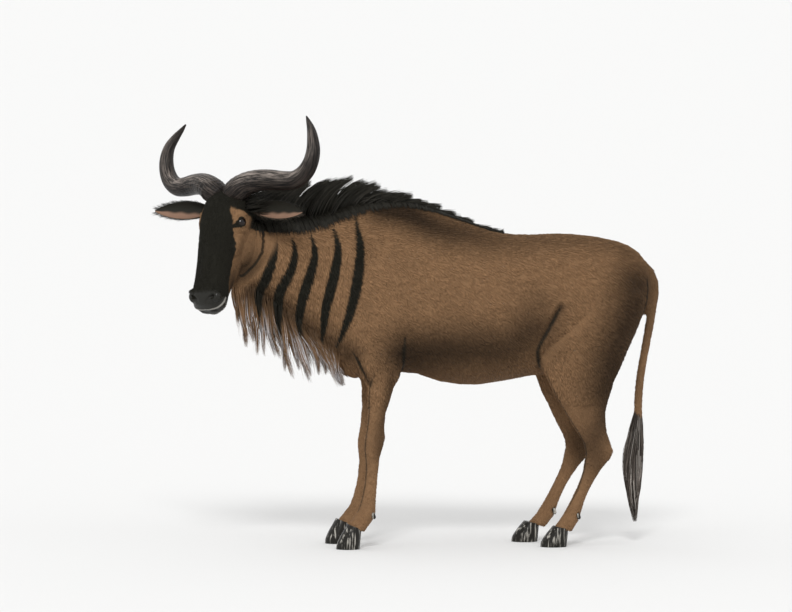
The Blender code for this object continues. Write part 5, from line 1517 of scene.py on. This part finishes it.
rise = np.linspace(0.0, 1.0, STRAND_RINGS)[None, :, None]
wave = 0.006 * rise * np.sin(math.tau * 1.1 * rise + 3.0 * turn[:, None, None]) * (1.0, 0.6, 0.0)
width = rng.uniform(0.0020, 0.0036, count)
brush = strands("tail_brush", path, width, swing, colour, along, hair_material, wave)
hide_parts("tail_tuft")

# Ear fringe
# Fine short hairs, black above and partly brown below, that sweep towards each ear's tip.
# They are rooted along both rims of the ear shells.
EAR_HAIR = np.array((0.120, 0.090, 0.070))
rng = np.random.default_rng(53)
edge_at = np.array([e[0] for e in ear_edges])
picked = rng.integers(0, len(ear_edges), 1400)
edge_run = np.array([e[1] for e in ear_edges])[picked]
edge_out = np.array([e[2] for e in ear_edges])[picked]
edge_front = np.array([e[3] for e in ear_edges])[picked]
count = len(picked)
start = edge_at[picked] + rng.normal(0, 0.0012, (count, 3))
edge_share = np.array([e[4] for e in ear_edges])[picked]
reach = (rng.uniform(0.006, 0.015, count) * (1 + 0.8 * edge_share**3))[:, None]
lean = rng.normal(0.25, 0.16, count)[:, None]
end = start + reach * (0.9 * edge_run + lean * edge_out + rng.normal(0.0, 0.18, count)[:, None] * edge_front)
path = np.stack([start, start + 0.35 * (end - start), start + 0.7 * (end - start), end], axis=1)
low_rim = (edge_out @ UP < 0) & (rng.random(count) < 0.35)
tone = np.where(low_rim[:, None], EAR_HAIR, BLACK)
colour = np.repeat(tone[:, None], STRAND_RINGS, axis=1)
local = in_head(start)
along = np.stack([0.5 + 1.4 * local[:, 0], 0.4 + local[:, 1]], axis=1)
strands("ear_fringe", path, np.full(count, 0.0009), edge_front, colour, along, hair_material)

# Floor
# A pale, plain, matt studio floor under the hooves, wide enough to run on in every view.
# It is one flat sheet and no part of the animal.
HALF_FLOOR = 600.0
corners = np.array(((-1, -1, 0), (1, -1, 0), (1, 1, 0), (-1, 1, 0))) * HALF_FLOOR
floor = mesh_object("studio_floor", corners, [(0, 1, 2, 3)])
floor_material, nodes, links, shader = new_material("pale_floor", 0.9, 0.1)
shader.inputs["Base Color"].default_value = (0.72, 0.72, 0.715, 1.0)
floor.data.materials.append(floor_material)
floor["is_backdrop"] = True

# Light
# Even white light from all round, as in a picture studio, with three distant lamps:
# a smaller one high in front, and two broad faint ones from the left and the right.
scene = bpy.context.scene
scene.view_settings.view_transform = "Standard"
world = bpy.data.worlds.new("studio_air")
scene.world = world
world.use_nodes = True
world.node_tree.nodes["Background"].inputs["Color"].default_value = (1.0, 1.0, 1.0, 1.0)
world.node_tree.nodes["Background"].inputs["Strength"].default_value = 0.94
for name, comes_from, spread, power in (
    ("key", (-0.16, -0.95, 0.64), 14.0, 1.75),
    ("soft", (-0.60, -0.80, 1.00), 60.0, 0.22),
    ("fill", (0.70, -0.90, 0.50), 60.0, 0.20),
):
    data = bpy.data.lights.new(name, "SUN")
    data.angle = math.radians(spread)
    data.energy = power
    lamp = bpy.data.objects.new(name, data)
    scene.collection.objects.link(lamp)
    lamp.rotation_euler = Vector(comes_from).to_track_quat("Z", "Y").to_euler()

# Camera
# A long lens far off, a little ahead of square to the animal's left side and nearly level.
AZIMUTH, ELEVATION, DISTANCE = math.radians(-7.0), math.radians(3.0), 25.0
VIEW_WIDTH = 3.049
data = bpy.data.cameras.new("camera")
data.sensor_width = 36.0
data.lens = data.sensor_width * DISTANCE / VIEW_WIDTH
camera = bpy.data.objects.new("camera", data)
bpy.context.scene.collection.objects.link(camera)
aim = Vector((-0.1163, 0.0, 0.9252)) + Vector(SHIFT)
back = Vector(
    (math.sin(AZIMUTH) * math.cos(ELEVATION), -math.cos(AZIMUTH) * math.cos(ELEVATION), math.sin(ELEVATION))
)
camera.location = aim + DISTANCE * back
camera.rotation_euler = (-back).to_track_quat("-Z", "Y").to_euler()
bpy.context.scene.camera = camera

low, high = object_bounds()
